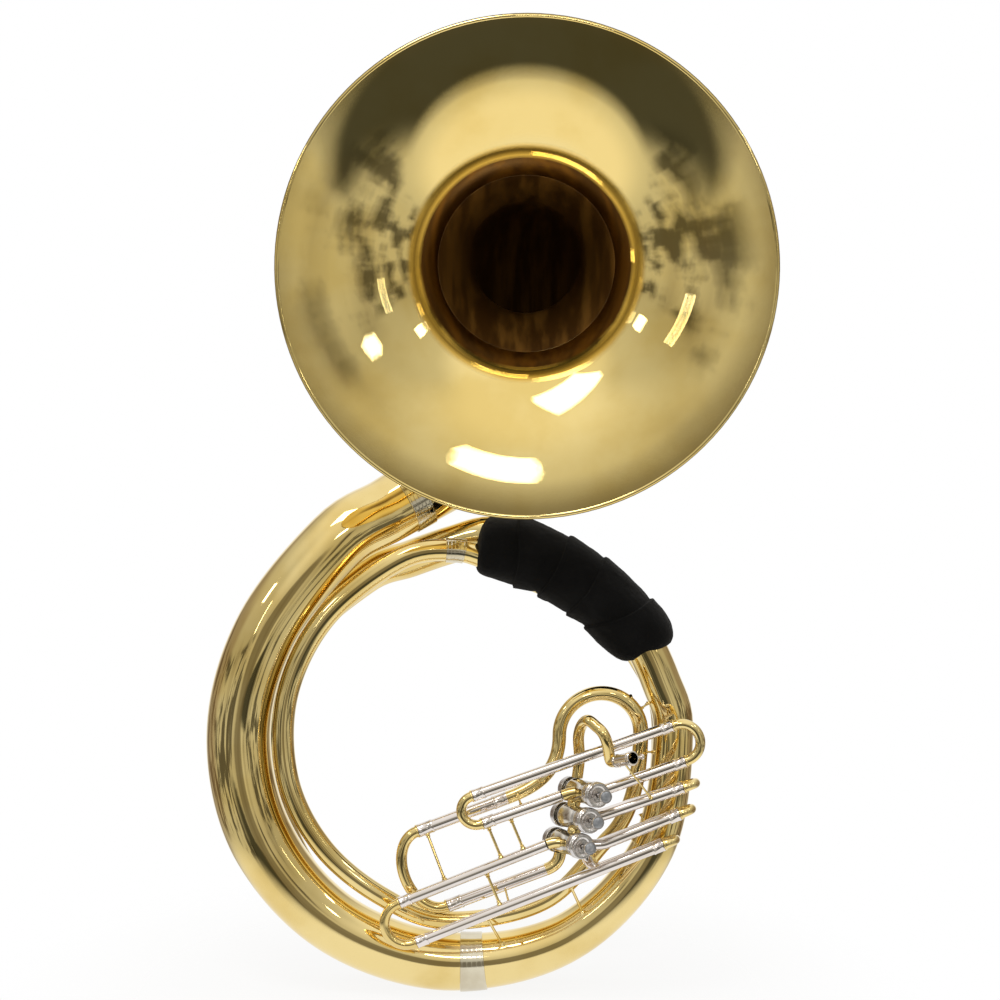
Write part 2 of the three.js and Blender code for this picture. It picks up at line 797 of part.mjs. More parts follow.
function buildBottomCap() {
  const bore = casingRadius + clearance;
  const outer = bore + capWall * 0.8;
  const top = casingFoot + bottomCapSkirt;
  const plate = casingFoot - clearance;
  return turned([
    [stemHole, plate],
    [bore, plate],
    [bore, top],
    [outer, top],
    [outer, plate - capPlate / 2],
    [outer - capWall, plate - capPlate],
    [stemHole, plate - capPlate],
    [stemHole, plate],
  ].reverse());
}

// The pipes that meet each casing: a point on its axis and the far point, with the bore's radius.
const valvePorts = [[], [], []];
const valveBore = { radius: slideRadius - slideWall, sides: slideSides };
const knuckleBore = { radius: knuckleRadius - slideWall, sides: knuckleSides };

// The slides' lines: an origin at a valve's axis, a direction and the direction square to it.
function slideLine(origin, tilt) {
  const along = new THREE.Vector3(Math.cos(tilt), 0, Math.sin(tilt));
  const across = new THREE.Vector3(-Math.sin(tilt), 0, Math.cos(tilt));
  return {
    along,
    across,
    at: (run, rise, depth = origin.y) => {
      const point = origin.clone().addScaledVector(along, run).addScaledVector(across, rise);
      point.y = depth;
      return point.addScaledVector(up, (origin.y - depth) * rearFallShare);
    },
    // The point of a tube on this slide that lies nearest to another point.
    nearest(point, rise, depth = origin.y) {
      return this.at(point.clone().sub(origin).dot(along), rise, depth);
    },
  };
}

// A slide's crook: two legs that stand in the outer tubes, a bead on each and the bow.
function buildCrook(start, end, outward, reference, radius, steps, legs = legLength, reachShare = 1) {
  const legRadius = radius - slideWall - clearance;
  const bowRadius = radius - slideWall * 0.8;
  const away = outward.clone().normalize();
  const bowStart = start.clone().addScaledVector(away, crookBead);
  const bowEnd = end.clone().addScaledVector(away, crookBead);
  const legStart = start.clone().addScaledVector(away, -legs);
  const legEnd = end.clone().addScaledVector(away, -legs);
  const back = away.clone().negate();
  const collar = radius + slideFerruleWall;
  const gap = clearance;
  const runs = [
    [legStart, away, legRadius],
    [start.clone().addScaledVector(away, gap), away, legRadius],
    [start.clone().addScaledVector(away, gap), away, collar],
    [bowStart, away, collar],
    [bowStart, away, bowRadius],
    ...bow(bowStart, bowEnd, away, steps, reachShare).slice(1, -1).map((s) => [s.point, s.direction, bowRadius]),
    [bowEnd, back, bowRadius],
    [bowEnd, back, collar],
    [end.clone().addScaledVector(away, gap), back, collar],
    [end.clone().addScaledVector(away, gap), back, legRadius],
    [legEnd, back, legRadius],
  ];
  const outer = runs.map(([point, direction, size]) => ringPoints({ point, direction }, size, slideSides, reference));
  const bore = legRadius - slideWall;
  const insideRuns = [
    [legStart, away],
    ...bow(bowStart, bowEnd, away, steps, reachShare).map((s) => [s.point, s.direction]),
    [legEnd, back],
  ];
  const inner = insideRuns.map(([point, direction]) => ringPoints({ point, direction }, bore, slideSides, reference));
  return skinRings([...outer, ...inner.reverse()], true);
}

// The four groups of slides.
const portDrop = 5;
const firstLift = 7;
const firstReach = 152;
const firstTop = 143;
const firstLeftSpan = 42;
const firstRightSpan = 54;
const secondDrop = 8.6;
const secondTop = 156;
const thirdLift = 11.4;
const thirdReach = 257.5;
const thirdLeftSpan = 62;
const thirdRightSpan = 32.3;
const thirdUpperTop = 153;
const thirdLowerTop = 116;
const thirdReturn = 26;
const mainLeft = 188;
const mainBehind = 64;
const mainDrop = 102.3;
const mainSpan = 116;
const mainUpperRun = 134;
const mainLowerRun = 150;
const mainOutlet = 8;
const elbowRun = 34;
const elbowPull = 14;
const elbowDip = 0.45;
const portBendRun = 44;
const shortLeg = 54;
const mainLeg = 80;
const bendSteps = 4;
const crookSteps = 5;
const mainCrookSteps = 8;
// Where the posts stand, as shares of their slide's reach.
const braceShares = [0.97, 0.75, 0.5, 0.075];
const bodyBraceShares = [0.595, 0.105];

// A slide's line at a valve, so far above the casing's middle.
function valveLine(i, lift, tilt) {
  return slideLine(valvePointAt(i, frontDepth).addScaledVector(up, lift), tilt);
}

const first = valveLine(0, firstLift, firstTilt);
const second = valveLine(1, -secondDrop, secondTilt);
const third = valveLine(2, thirdLift, thirdTilt);
const mainOrigin = valvePlace(2).add(new THREE.Vector3(-mainLeft, mainBehind, -mainDrop));
const main = slideLine(mainOrigin, mainTilt);

// The same way with a little more at either end, for a bore that comes out cleanly.
function lengthened(stations, extra) {
  const [first, last] = [stations[0], stations.at(-1)];
  const before = first.point.clone().addScaledVector(first.direction, -extra);
  const after = last.point.clone().addScaledVector(last.direction, extra);
  return [{ ...first, point: before }, ...stations.slice(1, -1), { ...last, point: after }];
}

// An outer tube of a slide, saddled onto whichever casings it meets, with its posts.
function outerTube(name, stations, radius, saddles, posts = []) {
  const pipe = tube(stations, radius, slideWall, slideSides);
  const bore = bar(lengthened(stations, slideWall), radius - slideWall, slideSides);
  const whole = posts.length ? cut(join(pipe, ...posts.flat()), bore) : pipe;
  addPiece(name, saddles.length ? cut(whole, ...saddles.map(casingSaddle)) : whole, nickel);
}

// The wider sleeve at the mouth of an outer tube, where its crook goes in.
function mouth(point, inward, radius = slideRadius, length = mouthLength) {
  const from = point.clone().addScaledVector(inward, clearance);
  const to = point.clone().addScaledVector(inward, length);
  return [bar(straight(from, to), radius + slideFerruleWall, slideSides)];
}

function bend(from, fromDirection, fromPull, to, toDirection, toPull, steps = bendSteps) {
  const curve = new THREE.CubicBezierCurve3(
    from,
    from.clone().addScaledVector(fromDirection, fromPull),
    to.clone().addScaledVector(toDirection, -toPull),
    to,
  );
  return sample(curve, steps);
}

function buildSlides() {
  const { at: firstAt, along: firstAlong } = first;
  const { at: secondAt, along: secondAlong } = second;
  const { at: thirdAt, along: thirdAlong } = third;
  const { at: mainAt, along: mainAlong } = main;
  const thirdLow = -thirdLeftSpan;
  const thirdMid = thirdRightSpan - thirdLeftSpan;
  const firstBack = firstAlong.clone().negate();
  const thirdBack = thirdAlong.clone().negate();
  const mainBack = mainAlong.clone().negate();

  // First valve: a long upper tube with a crook at either end.
  const firstElbow = elbow(first, 0);
  valvePorts[0].push({ ...throughBore(firstElbow.at(-1)), ...valveBore });
  const returnRise = firstLeftSpan - firstRightSpan;
  valvePorts[0].push({ from: firstAt(0, returnRise), to: firstAt(casingRadius * 2, returnRise), ...valveBore });
  const firstUpper = [firstAt(-firstReach, firstLeftSpan), firstAt(firstTop, firstLeftSpan)];
  outerTube("first_upper_tube", straight(...firstUpper), slideRadius, [], [
    mouth(firstUpper[0], firstAlong),
    mouth(firstUpper[1], firstBack),
  ]);
  const firstLower = chain(straight(firstAt(-firstReach, 0), firstElbow[0].point), firstElbow);
  outerTube("first_lower_tube", firstLower, slideRadius, [0], [
    mouth(firstAt(-firstReach, 0), firstAlong),
    slideBrace(firstAt(-firstReach * braceShares[0], 0), slideRadius, third, 0),
    slideBrace(firstAt(-firstReach * braceShares[1], 0), slideRadius, third, 0),
  ]);
  outerTube(
    "first_return_tube",
    straight(firstAt(0, returnRise), firstAt(firstTop, returnRise)),
    slideRadius,
    [0],
    [mouth(firstAt(firstTop, returnRise), firstBack)],
  );
  addPiece(
    "first_left_crook",
    buildCrook(firstUpper[0], firstAt(-firstReach, 0), firstBack, referenceDepth, slideRadius, crookSteps),
    brass,
  );
  addPiece(
    "first_right_crook",
    buildCrook(
      firstAt(firstTop, firstLeftSpan),
      firstAt(firstTop, firstLeftSpan - firstRightSpan),
      firstAlong,
      referenceDepth,
      slideRadius,
      crookSteps,
    ),
    brass,
  );

  // Second valve: two tubes, one behind the other.
  [frontDepth, rearDepth].forEach((depth, i) => {
    const root = portStation(1, depth, secondAlong);
    const join = secondAt(portBendRun, 0, depth);
    const way = bend(root.point, secondAlong, slideRadius * 2, join, secondAlong, slideRadius * 2);
    valvePorts[1].push({ ...throughBore(root), ...valveBore });
    outerTube(
      i ? "second_rear_tube" : "second_front_tube",
      chain(way, straight(join, secondAt(secondTop, 0, depth))),
      slideRadius,
      [1],
      [mouth(secondAt(secondTop, 0, depth), secondAlong.clone().negate())],
    );
  });
  addPiece(
    "second_crook",
    buildCrook(
      secondAt(secondTop, 0),
      secondAt(secondTop, 0, rearDepth),
      secondAlong,
      second.across,
      slideRadius,
      crookSteps,
    ),
    brass,
  );

  // Third valve: down the lower pair, round the return and up again.
  const thirdElbow = elbow(third, 2);
  valvePorts[2].push({ ...throughBore(thirdElbow.at(-1)), ...valveBore });
  const thirdUpper = chain(straight(thirdAt(-thirdReach, 0), thirdElbow[0].point), thirdElbow);
  outerTube("third_upper_tube", thirdUpper, slideRadius, [2], [
    mouth(thirdAt(-thirdReach, 0), thirdAlong),
    slideBrace(thirdAt(-thirdReach * braceShares[2], 0), slideRadius, third, thirdLow),
  ]);
  outerTube(
    "third_lower_tube",
    straight(thirdAt(-thirdReach, thirdLow), thirdAt(thirdLowerTop, thirdLow)),
    slideRadius,
    [],
    [
      mouth(thirdAt(-thirdReach, thirdLow), thirdAlong),
      mouth(thirdAt(thirdLowerTop, thirdLow), thirdBack),
      bodyBrace(thirdAt(-thirdReach * bodyBraceShares[0], thirdLow), shoulderFront),
      bodyBrace(thirdAt(-thirdReach * bodyBraceShares[1], thirdLow), shoulderFront),
    ],
  );
  const portRoot = portStation(2, frontDepth, thirdAlong);
  const portJoin = thirdAt(portBendRun, thirdMid);
  const portBend = bend(portRoot.point, thirdAlong, slideRadius * 3, portJoin, thirdAlong, slideRadius * 2);
  valvePorts[2].push({ ...throughBore(portRoot), ...valveBore });
  outerTube(
    "third_return_front_tube",
    chain(portBend, straight(portJoin, thirdAt(thirdUpperTop, thirdMid))),
    slideRadius,
    [2],
    [mouth(thirdAt(thirdUpperTop, thirdMid), thirdBack)],
  );
  outerTube(
    "third_return_rear_tube",
    chain(
      straight(thirdAt(thirdLowerTop, thirdLow, rearDepth), thirdAt(thirdReturn, thirdLow, rearDepth)),
      bow(thirdAt(thirdReturn, thirdLow, rearDepth), thirdAt(thirdReturn, thirdMid, rearDepth), thirdBack, crookSteps),
      straight(thirdAt(thirdReturn, thirdMid, rearDepth), thirdAt(thirdUpperTop, thirdMid, rearDepth)),
    ),
    slideRadius,
    [],
    [
      mouth(thirdAt(thirdLowerTop, thirdLow, rearDepth), thirdBack),
      mouth(thirdAt(thirdUpperTop, thirdMid, rearDepth), thirdBack),
    ],
  );
  addPiece(
    "third_left_crook",
    buildCrook(thirdAt(-thirdReach, 0), thirdAt(-thirdReach, thirdLow), thirdBack, referenceDepth, slideRadius, crookSteps),
    brass,
  );
  addPiece(
    "third_upper_crook",
    buildCrook(
      thirdAt(thirdUpperTop, thirdMid),
      thirdAt(thirdUpperTop, thirdMid, rearDepth),
      thirdAlong,
      third.across,
      slideRadius,
      crookSteps,
    ),
    brass,
  );
  addPiece(
    "third_lower_crook",
    buildCrook(
      thirdAt(thirdLowerTop, thirdLow),
      thirdAt(thirdLowerTop, thirdLow, rearDepth),
      thirdAlong,
      third.across,
      slideRadius,
      crookSteps,
      shortLeg,
    ),
    brass,
  );

  // Main slide: from the third valve, round the big crook and up to the loop.
  const outlet = valvePointAt(2, mainAt(0, 0).y).addScaledVector(up, -mainOutlet);
  valvePorts[2].push({ from: outlet, to: outlet.clone().addScaledVector(up, -casingRadius * 2), ...valveBore });
  const lowerEnd = mainAt(mainLowerRun, 0);
  outerTube(
    "main_lower_tube",
    chain(
      straight(mainAt(0, 0), lowerEnd),
      bend(lowerEnd, mainAlong, mainSlideRadius * 2, outlet, up, mainSlideRadius * 2),
    ),
    mainSlideRadius,
    [2],
    [mouth(mainAt(0, 0), mainAlong, mainSlideRadius, mainMouthLength)],
  );
  outerTube("main_upper_tube", straight(mainAt(0, mainSpan), mainAt(mainUpperRun, mainSpan)), mainSlideRadius, [], [
    mouth(mainAt(0, mainSpan), mainAlong, mainSlideRadius, mainMouthLength),
    slideBrace(mainAt(mainUpperRun * braceShares[3], mainSpan), mainSlideRadius, third, 0),
  ]);
  addPiece(
    "main_crook",
    buildCrook(
      mainAt(0, mainSpan),
      mainAt(0, 0),
      mainBack,
      referenceDepth,
      mainSlideRadius,
      mainCrookSteps,
      mainLeg,
      mainReachShare,
    ),
    brass,
  );
}

// The end of a slide's tube: an elbow that leaves the line and dips into the casing.
function elbow(line, i) {
  const port = valvePointAt(i, frontDepth);
  const aim = line.along.clone().addScaledVector(up, -elbowDip).normalize();
  return bend(line.at(-elbowRun, 0), line.along, elbowPull, port, aim, elbowPull);
}

// Where a slide's tube leaves a casing, below the casing's middle.
function portStation(i, depth, direction) {
  return { point: valvePointAt(i, depth).addScaledVector(up, -portDrop), direction: direction.clone().negate() };
}

// The bore through a casing's wall at the end of a tube, back along the tube.
function throughBore(station) {
  const way = station.direction.clone().setLength(-casingRadius * 2);
  return { from: station.point, to: station.point.clone().add(way) };
}

// A post from one slide tube to another.
function slideBrace(from, radius, line, rise, toRadius = slideRadius) {
  return brace(from, radius, line.nearest(from, rise), toRadius);
}

// The nearest point of a faceted tube's middle line, with the tube's radius there.
function nearestOn(stations, point) {
  const spot = new THREE.Vector3();
  let best = null;
  for (let i = 0; i < stations.length - 1; i++) {
    const [near, far] = [stations[i], stations[i + 1]];
    const segment = new THREE.Line3(near.point, far.point);
    const share = segment.closestPointToPointParameter(point, true);
    segment.at(share, spot);
    const distance = spot.distanceTo(point);
    if (!best || distance < best.distance) {
      best = { distance, point: spot.clone(), radius: THREE.MathUtils.lerp(near.radius, far.radius, share) };
    }
  }
  return best;
}

// A post from a slide tube back onto a branch of the body.
function bodyBrace(from, stations) {
  const spot = nearestOn(stations, from);
  return brace(from, slideRadius, spot.point, spot.radius);
}

// The loop that joins the main slide to the body's inner turn.
function buildLoop() {
  const centre = place(loopCentreShares);
  const start = main.at(mainUpperRun + clearance, mainSpan);
  const runStart = runStation(runAngles[0]);
  const leftTop = centre.clone().add(new THREE.Vector3(-loopRadius, -loopLean, 0));
  const rightTop = centre.clone().add(new THREE.Vector3(loopRadius, loopLean, 0));
  const arc = Array.from({ length: bendSteps + 3 }, (unused, i) => {
    const turn = (Math.PI * i) / (bendSteps + 2);
    return {
      point: centre
        .clone()
        .add(new THREE.Vector3(-loopRadius, -loopLean, 0).multiplyScalar(Math.cos(turn)))
        .addScaledVector(up, loopRadius * Math.sin(turn)),
      direction: new THREE.Vector3(loopRadius, loopLean, 0)
        .multiplyScalar(Math.sin(turn))
        .addScaledVector(up, loopRadius * Math.cos(turn)),
    };
  });
  const end = runStart.point.clone().addScaledVector(runStart.direction, -clearance);
  const stations = chain(
    bend(start, main.along, loopPull, leftTop, up, loopPull, bendSteps - 1),
    arc,
    bend(rightTop, up.clone().negate(), loopPull, end, runStart.direction, loopPull, bendSteps),
  );
  const grown = stations.map((station, i) => ({
    ...station,
    radius: THREE.MathUtils.lerp(loopStartRadius, runRadii[0], i / (stations.length - 1)),
  }));
  addPiece("loop_branch", tube(grown, stationRadius, branchWall, innerSides), brass);
}

// The mouthpipe and the receiver it ends in.
const receiverAim = new THREE.Vector3(...receiverAimShares).normalize();
const receiverMouth = place(receiverMouthShares);

function buildMouthpipe() {
  const receiverRear = receiverMouth.clone().addScaledVector(receiverAim, -receiverLength);
  const port = valvePointAt(0, leadpipeShares[0][1] * ringRadius);
  const reference = new THREE.Vector3(-receiverAim.y, receiverAim.x, 0);
  valvePorts[0].push({ from: port, to: port.clone().addScaledVector(up, casingRadius * 2), ...valveBore });
  const curve = new THREE.CatmullRomCurve3([port, ...leadpipeShares.map(place)]);
  const end = receiverRear.clone().addScaledVector(receiverAim, -clearance);
  const turnEnd = receiverRear.clone().addScaledVector(receiverAim, -leadpipeRadius);
  const turn = bend(
    curve.getPoint(1),
    curve.getTangent(1),
    leadpipeRadius * 3.6,
    turnEnd,
    receiverAim,
    leadpipeRadius * 2.2,
  );
  const way = chain(sample(curve, leadpipeSteps), turn, straight(turnEnd, end));
  const pipe = tube(way, leadpipeRadius, slideWall, slideSides, reference);
  addPiece("leadpipe", cut(pipe, casingSaddle(0)), brass);

  const profile = [
    [receiverBore - receiverTaper, 0],
    [receiverRadius, 0],
    [receiverRadius, receiverLength - receiverRimLength],
    [receiverRimRadius, receiverLength - receiverRimLength],
    [receiverRimRadius, receiverLength],
    [receiverBore, receiverLength],
    [receiverBore - receiverTaper, 0],
  ];
  const frame = new THREE.Group();
  frame.position.copy(receiverRear);
  const across = new THREE.Vector3().crossVectors(receiverAim, reference.clone().normalize());
  frame.setRotationFromMatrix(new THREE.Matrix4().makeBasis(reference.clone().normalize(), across, receiverAim));
  frame.updateMatrix();
  const clampPlace = (out) => new THREE.Vector3(out, 0, receiverLength - receiverRimLength / 2);
  const clampFoot = clampPlace((receiverBore + receiverRimRadius) / 2);
  const clampHead = clampPlace(receiverRimRadius + clampScrewLength - clampHeadLength);
  const clampEnd = clampPlace(receiverRimRadius + clampScrewLength);
  const shank = rod(clampFoot, clampEnd, clampScrewRadius);
  const head = rod(clampHead, clampEnd, clampHeadRadius, innerSides);
  addPiece("receiver", join(turned(profile), shank, head).applyMatrix4(frame.matrix), nickel);
}

// The pad: a lapped wrap round both tubes that cross at the shoulder.
function padSectionAt(share) {
  const row = share * (padShares.length - 1);
  const i = Math.min(Math.floor(row), padShares.length - 2);
  const near = padShares[i];
  const far = padShares[i + 1];
  return near.map((value, k) => THREE.MathUtils.lerp(value, far[k], row - i));
}

function buildPad() {
  const rings = Array.from({ length: padSteps + 1 }, (unused, i) => {
    const share = i / padSteps;
    const [angle, innerShare, outerShare, depthShare, halfShare] = padSectionAt(share);
    const end = Math.min(share, 1 - share) * padSteps;
    const rounding = end < 1 ? 0.82 : end < 2 ? 0.95 : 1;
    return Array.from({ length: padSides }, (unusedToo, j) => {
      const turn = (-2 * Math.PI * j) / padSides;
      const lap = (share * padLaps + 0.16 * Math.sin(turn) + 0.1 * Math.cos(turn) + 1) % 1;
      const step = padLapStep * (1 - lap);
      const radialHalf = ((outerShare - innerShare) / 2) * ringRadius * rounding - step / 2;
      const depthHalf = halfShare * ringRadius * rounding - step / 2;
      const squared = (value) => Math.sign(value) * Math.pow(Math.abs(value), padSquareness);
      const distance = ((outerShare + innerShare) / 2) * ringRadius + radialHalf * squared(Math.cos(turn));
      const depth = depthShare * ringRadius + depthHalf * squared(Math.sin(turn));
      return new THREE.Vector3(
        distance * Math.cos(angle * degree),
        depth,
        distance * Math.sin(angle * degree),
      );
    });
  });
  const within = (stations, turns) =>
    stations.filter((s) => s.angle + 360 * turns > padShares.at(-1)[0] - 16 && s.angle + 360 * turns < padShares[0][0] + 16);
  const bores = [
    bar(within(rearStations, 0), (s) => s.radius + padGap, innerSides),
    bar(within(shoulderStations, 1), (s) => s.radius + padGap, innerSides),
  ];
  addPiece("shoulder_pad", cut(skinRings(rings, false), ...bores), cloth);
}

function buildValves() {
  const nameOf = (name, i) => name + "_" + (i + 1);
  const knuckles = buildKnuckles();
  const innerRadius = casingRadius - casingWall;
  const [coreFoot, coreTop] = [casingFoot - casingWall, casingTop + casingWall];
  [0, 1, 2].forEach((i) => {
    const frame = valveFrame(i);
    instrument.add(frame);
    const inverse = frame.matrix.clone().invert();
    const shell = turned([
      [innerRadius, casingFoot],
      [casingRadius, casingFoot],
      [casingRadius, casingTop],
      [innerRadius, casingTop],
      [innerRadius, casingFoot],
    ]);
    const holes = valvePorts[i].map((port) => rod(port.from, port.to, port.radius, port.sides).applyMatrix4(inverse));
    const pipes = i === 1 ? knuckles.map((pipe) => pipe.clone().applyMatrix4(inverse)) : [];
    const casing = pipes.length ? join(shell, ...pipes) : shell;
    const core = turned([
      [0, coreFoot],
      [innerRadius, coreFoot],
      [innerRadius, coreTop],
      [0, coreTop],
      [0, coreFoot],
    ]);
    addPiece(nameOf("casing", i), cut(casing, core, ...holes), steel, frame);
    addPiece(nameOf("top_cap", i), buildTopCap(), steel, frame);
    addPiece(nameOf("bottom_cap", i), buildBottomCap(), steel, frame);
    addPiece(nameOf("piston", i), buildPiston(), steel, frame);
    addPiece(nameOf("finger_button", i), buildButton(), pearl, frame);
    addPiece(nameOf("valve_spring", i), buildSpring(), steel, frame);
  });
}

// Short pipes from the middle casing to its neighbours, whose bores go through both casings.
function buildKnuckles() {
  return [0, 2].map((i) => {
    const depth = i ? frontDepth : knuckleDepth;
    const from = valvePointAt(1, depth);
    const to = valvePointAt(i, depth);
    valvePorts[i].push({ from, to, ...knuckleBore });
    valvePorts[1].push({ from, to, ...knuckleBore });
    return cut(rod(from, to, knuckleRadius, knuckleSides), casingSaddle(i));
  });
}

buildBody();
buildBell();
buildCollar();
buildSlides();
buildLoop();
buildMouthpipe();
buildPad();
buildValves();

export default model;
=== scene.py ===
"""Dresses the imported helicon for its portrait.

The winding of the body, the slides, the valves, the bell and the shoulder pad are modelled again here as
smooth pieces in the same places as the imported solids, and each finish is a small procedural material.
All sizes are in metres. +Z is up and the bell opens towards -Y.
"""

from __future__ import annotations

import json
import logging
import math
from dataclasses import dataclass, field
from enum import Enum
from typing import Callable, Iterable, Sequence

import bmesh
import bpy
from mathutils import Matrix, Vector, noise

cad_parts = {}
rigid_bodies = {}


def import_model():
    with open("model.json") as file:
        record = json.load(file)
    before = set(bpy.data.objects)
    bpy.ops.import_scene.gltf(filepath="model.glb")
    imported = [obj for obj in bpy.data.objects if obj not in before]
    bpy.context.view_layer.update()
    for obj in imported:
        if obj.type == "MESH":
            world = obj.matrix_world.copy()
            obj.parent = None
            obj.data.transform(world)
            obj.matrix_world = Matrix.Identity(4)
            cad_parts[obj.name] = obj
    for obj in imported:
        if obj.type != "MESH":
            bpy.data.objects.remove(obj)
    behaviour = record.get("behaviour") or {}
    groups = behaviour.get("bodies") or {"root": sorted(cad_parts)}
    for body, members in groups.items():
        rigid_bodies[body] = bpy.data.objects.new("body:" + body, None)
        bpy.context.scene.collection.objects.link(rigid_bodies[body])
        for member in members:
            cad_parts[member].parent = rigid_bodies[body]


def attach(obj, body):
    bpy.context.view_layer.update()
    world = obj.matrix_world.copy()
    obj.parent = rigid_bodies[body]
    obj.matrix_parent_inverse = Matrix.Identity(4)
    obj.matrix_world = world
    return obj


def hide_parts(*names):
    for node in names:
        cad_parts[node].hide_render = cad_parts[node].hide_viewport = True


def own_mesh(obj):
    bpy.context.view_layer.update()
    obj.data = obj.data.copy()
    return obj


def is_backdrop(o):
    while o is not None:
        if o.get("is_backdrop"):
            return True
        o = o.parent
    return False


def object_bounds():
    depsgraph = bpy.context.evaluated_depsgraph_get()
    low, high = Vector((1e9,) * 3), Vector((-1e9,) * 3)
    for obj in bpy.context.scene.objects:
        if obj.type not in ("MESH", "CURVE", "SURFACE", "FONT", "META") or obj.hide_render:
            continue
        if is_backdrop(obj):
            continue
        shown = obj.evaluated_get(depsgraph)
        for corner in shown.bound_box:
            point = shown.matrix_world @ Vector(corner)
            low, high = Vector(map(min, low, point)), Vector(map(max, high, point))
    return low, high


LOG = logging.getLogger("helicon")
DEPTH = Vector((0, 1, 0))
UP = Vector((0, 0, 1))
SIDEWAYS = Vector((1, 0, 0))
RING_RADIUS = 0.3
CLEARANCE = 0.0003
# How far inside the bell's wall the throat's sheet of painted shade lies.
SHADE_GAP = 0.0005

Triple = tuple[float, float, float]
Pair = tuple[Triple, Triple]


def place(shares: Sequence[float]) -> Vector:
    """The point at these shares of the ring's radius from the ring's middle, in metres."""
    return Vector(shares) * RING_RADIUS


RING_CENTRE = -place((0.497, 0, 0.61))


class Slot(Enum):
    """The record's material slots."""

    BRASS = "lacquered_brass"
    BELL = "bell_brass"
    NICKEL = "nickel_silver"
    SATIN = "satin_silver"
    PEARL = "button_pearl"
    WRAP = "pad_wrap"
    SPRING = "spring_steel"


class Signal:
    """A shader value that takes part in plain arithmetic."""

    def __init__(self, kit: "NodeKit", socket: bpy.types.NodeSocket) -> None:
        self.kit = kit
        self.socket = socket

    def _maths(self, operation: str, first: object, second: object = 0.0) -> "Signal":
        """One Math node of an operation on two values."""
        return self.kit.node("ShaderNodeMath", {"operation": operation}, {0: first, 1: second})

    def __add__(self, other: object) -> "Signal":
        """Adds."""
        return self._maths("ADD", self, other)

    __radd__ = __add__

    def __mul__(self, other: object) -> "Signal":
        """Multiplies."""
        return self._maths("MULTIPLY", self, other)

    __rmul__ = __mul__

    def __sub__(self, other: object) -> "Signal":
        """Takes away."""
        return self._maths("SUBTRACT", self, other)

    def __rsub__(self, other: object) -> "Signal":
        """Takes this from another value."""
        return self._maths("SUBTRACT", other, self)

    def sine(self) -> "Signal":
        """The sine of this value."""
        return self._maths("SINE", self)

    def between(self, low: float, high: float) -> "Signal":
        """A smooth step from 0 at low to 1 at high.

        Args:
            low: Where the step starts.
            high: Where the step ends.

        Returns:
            The step.
        """
        settings = {"interpolation_type": "SMOOTHSTEP"}
        return self.kit.node(
            "ShaderNodeMapRange", settings, {"Value": self, "From Min": low, "From Max": high}
        )

    def about(self, middle: float, far: float, near: float) -> "Signal":
        """A smooth step from 0 to 1 as the value nears a middle, between two squared distances."""
        away = self - middle
        return (0 - away * away).between(-far, -near)


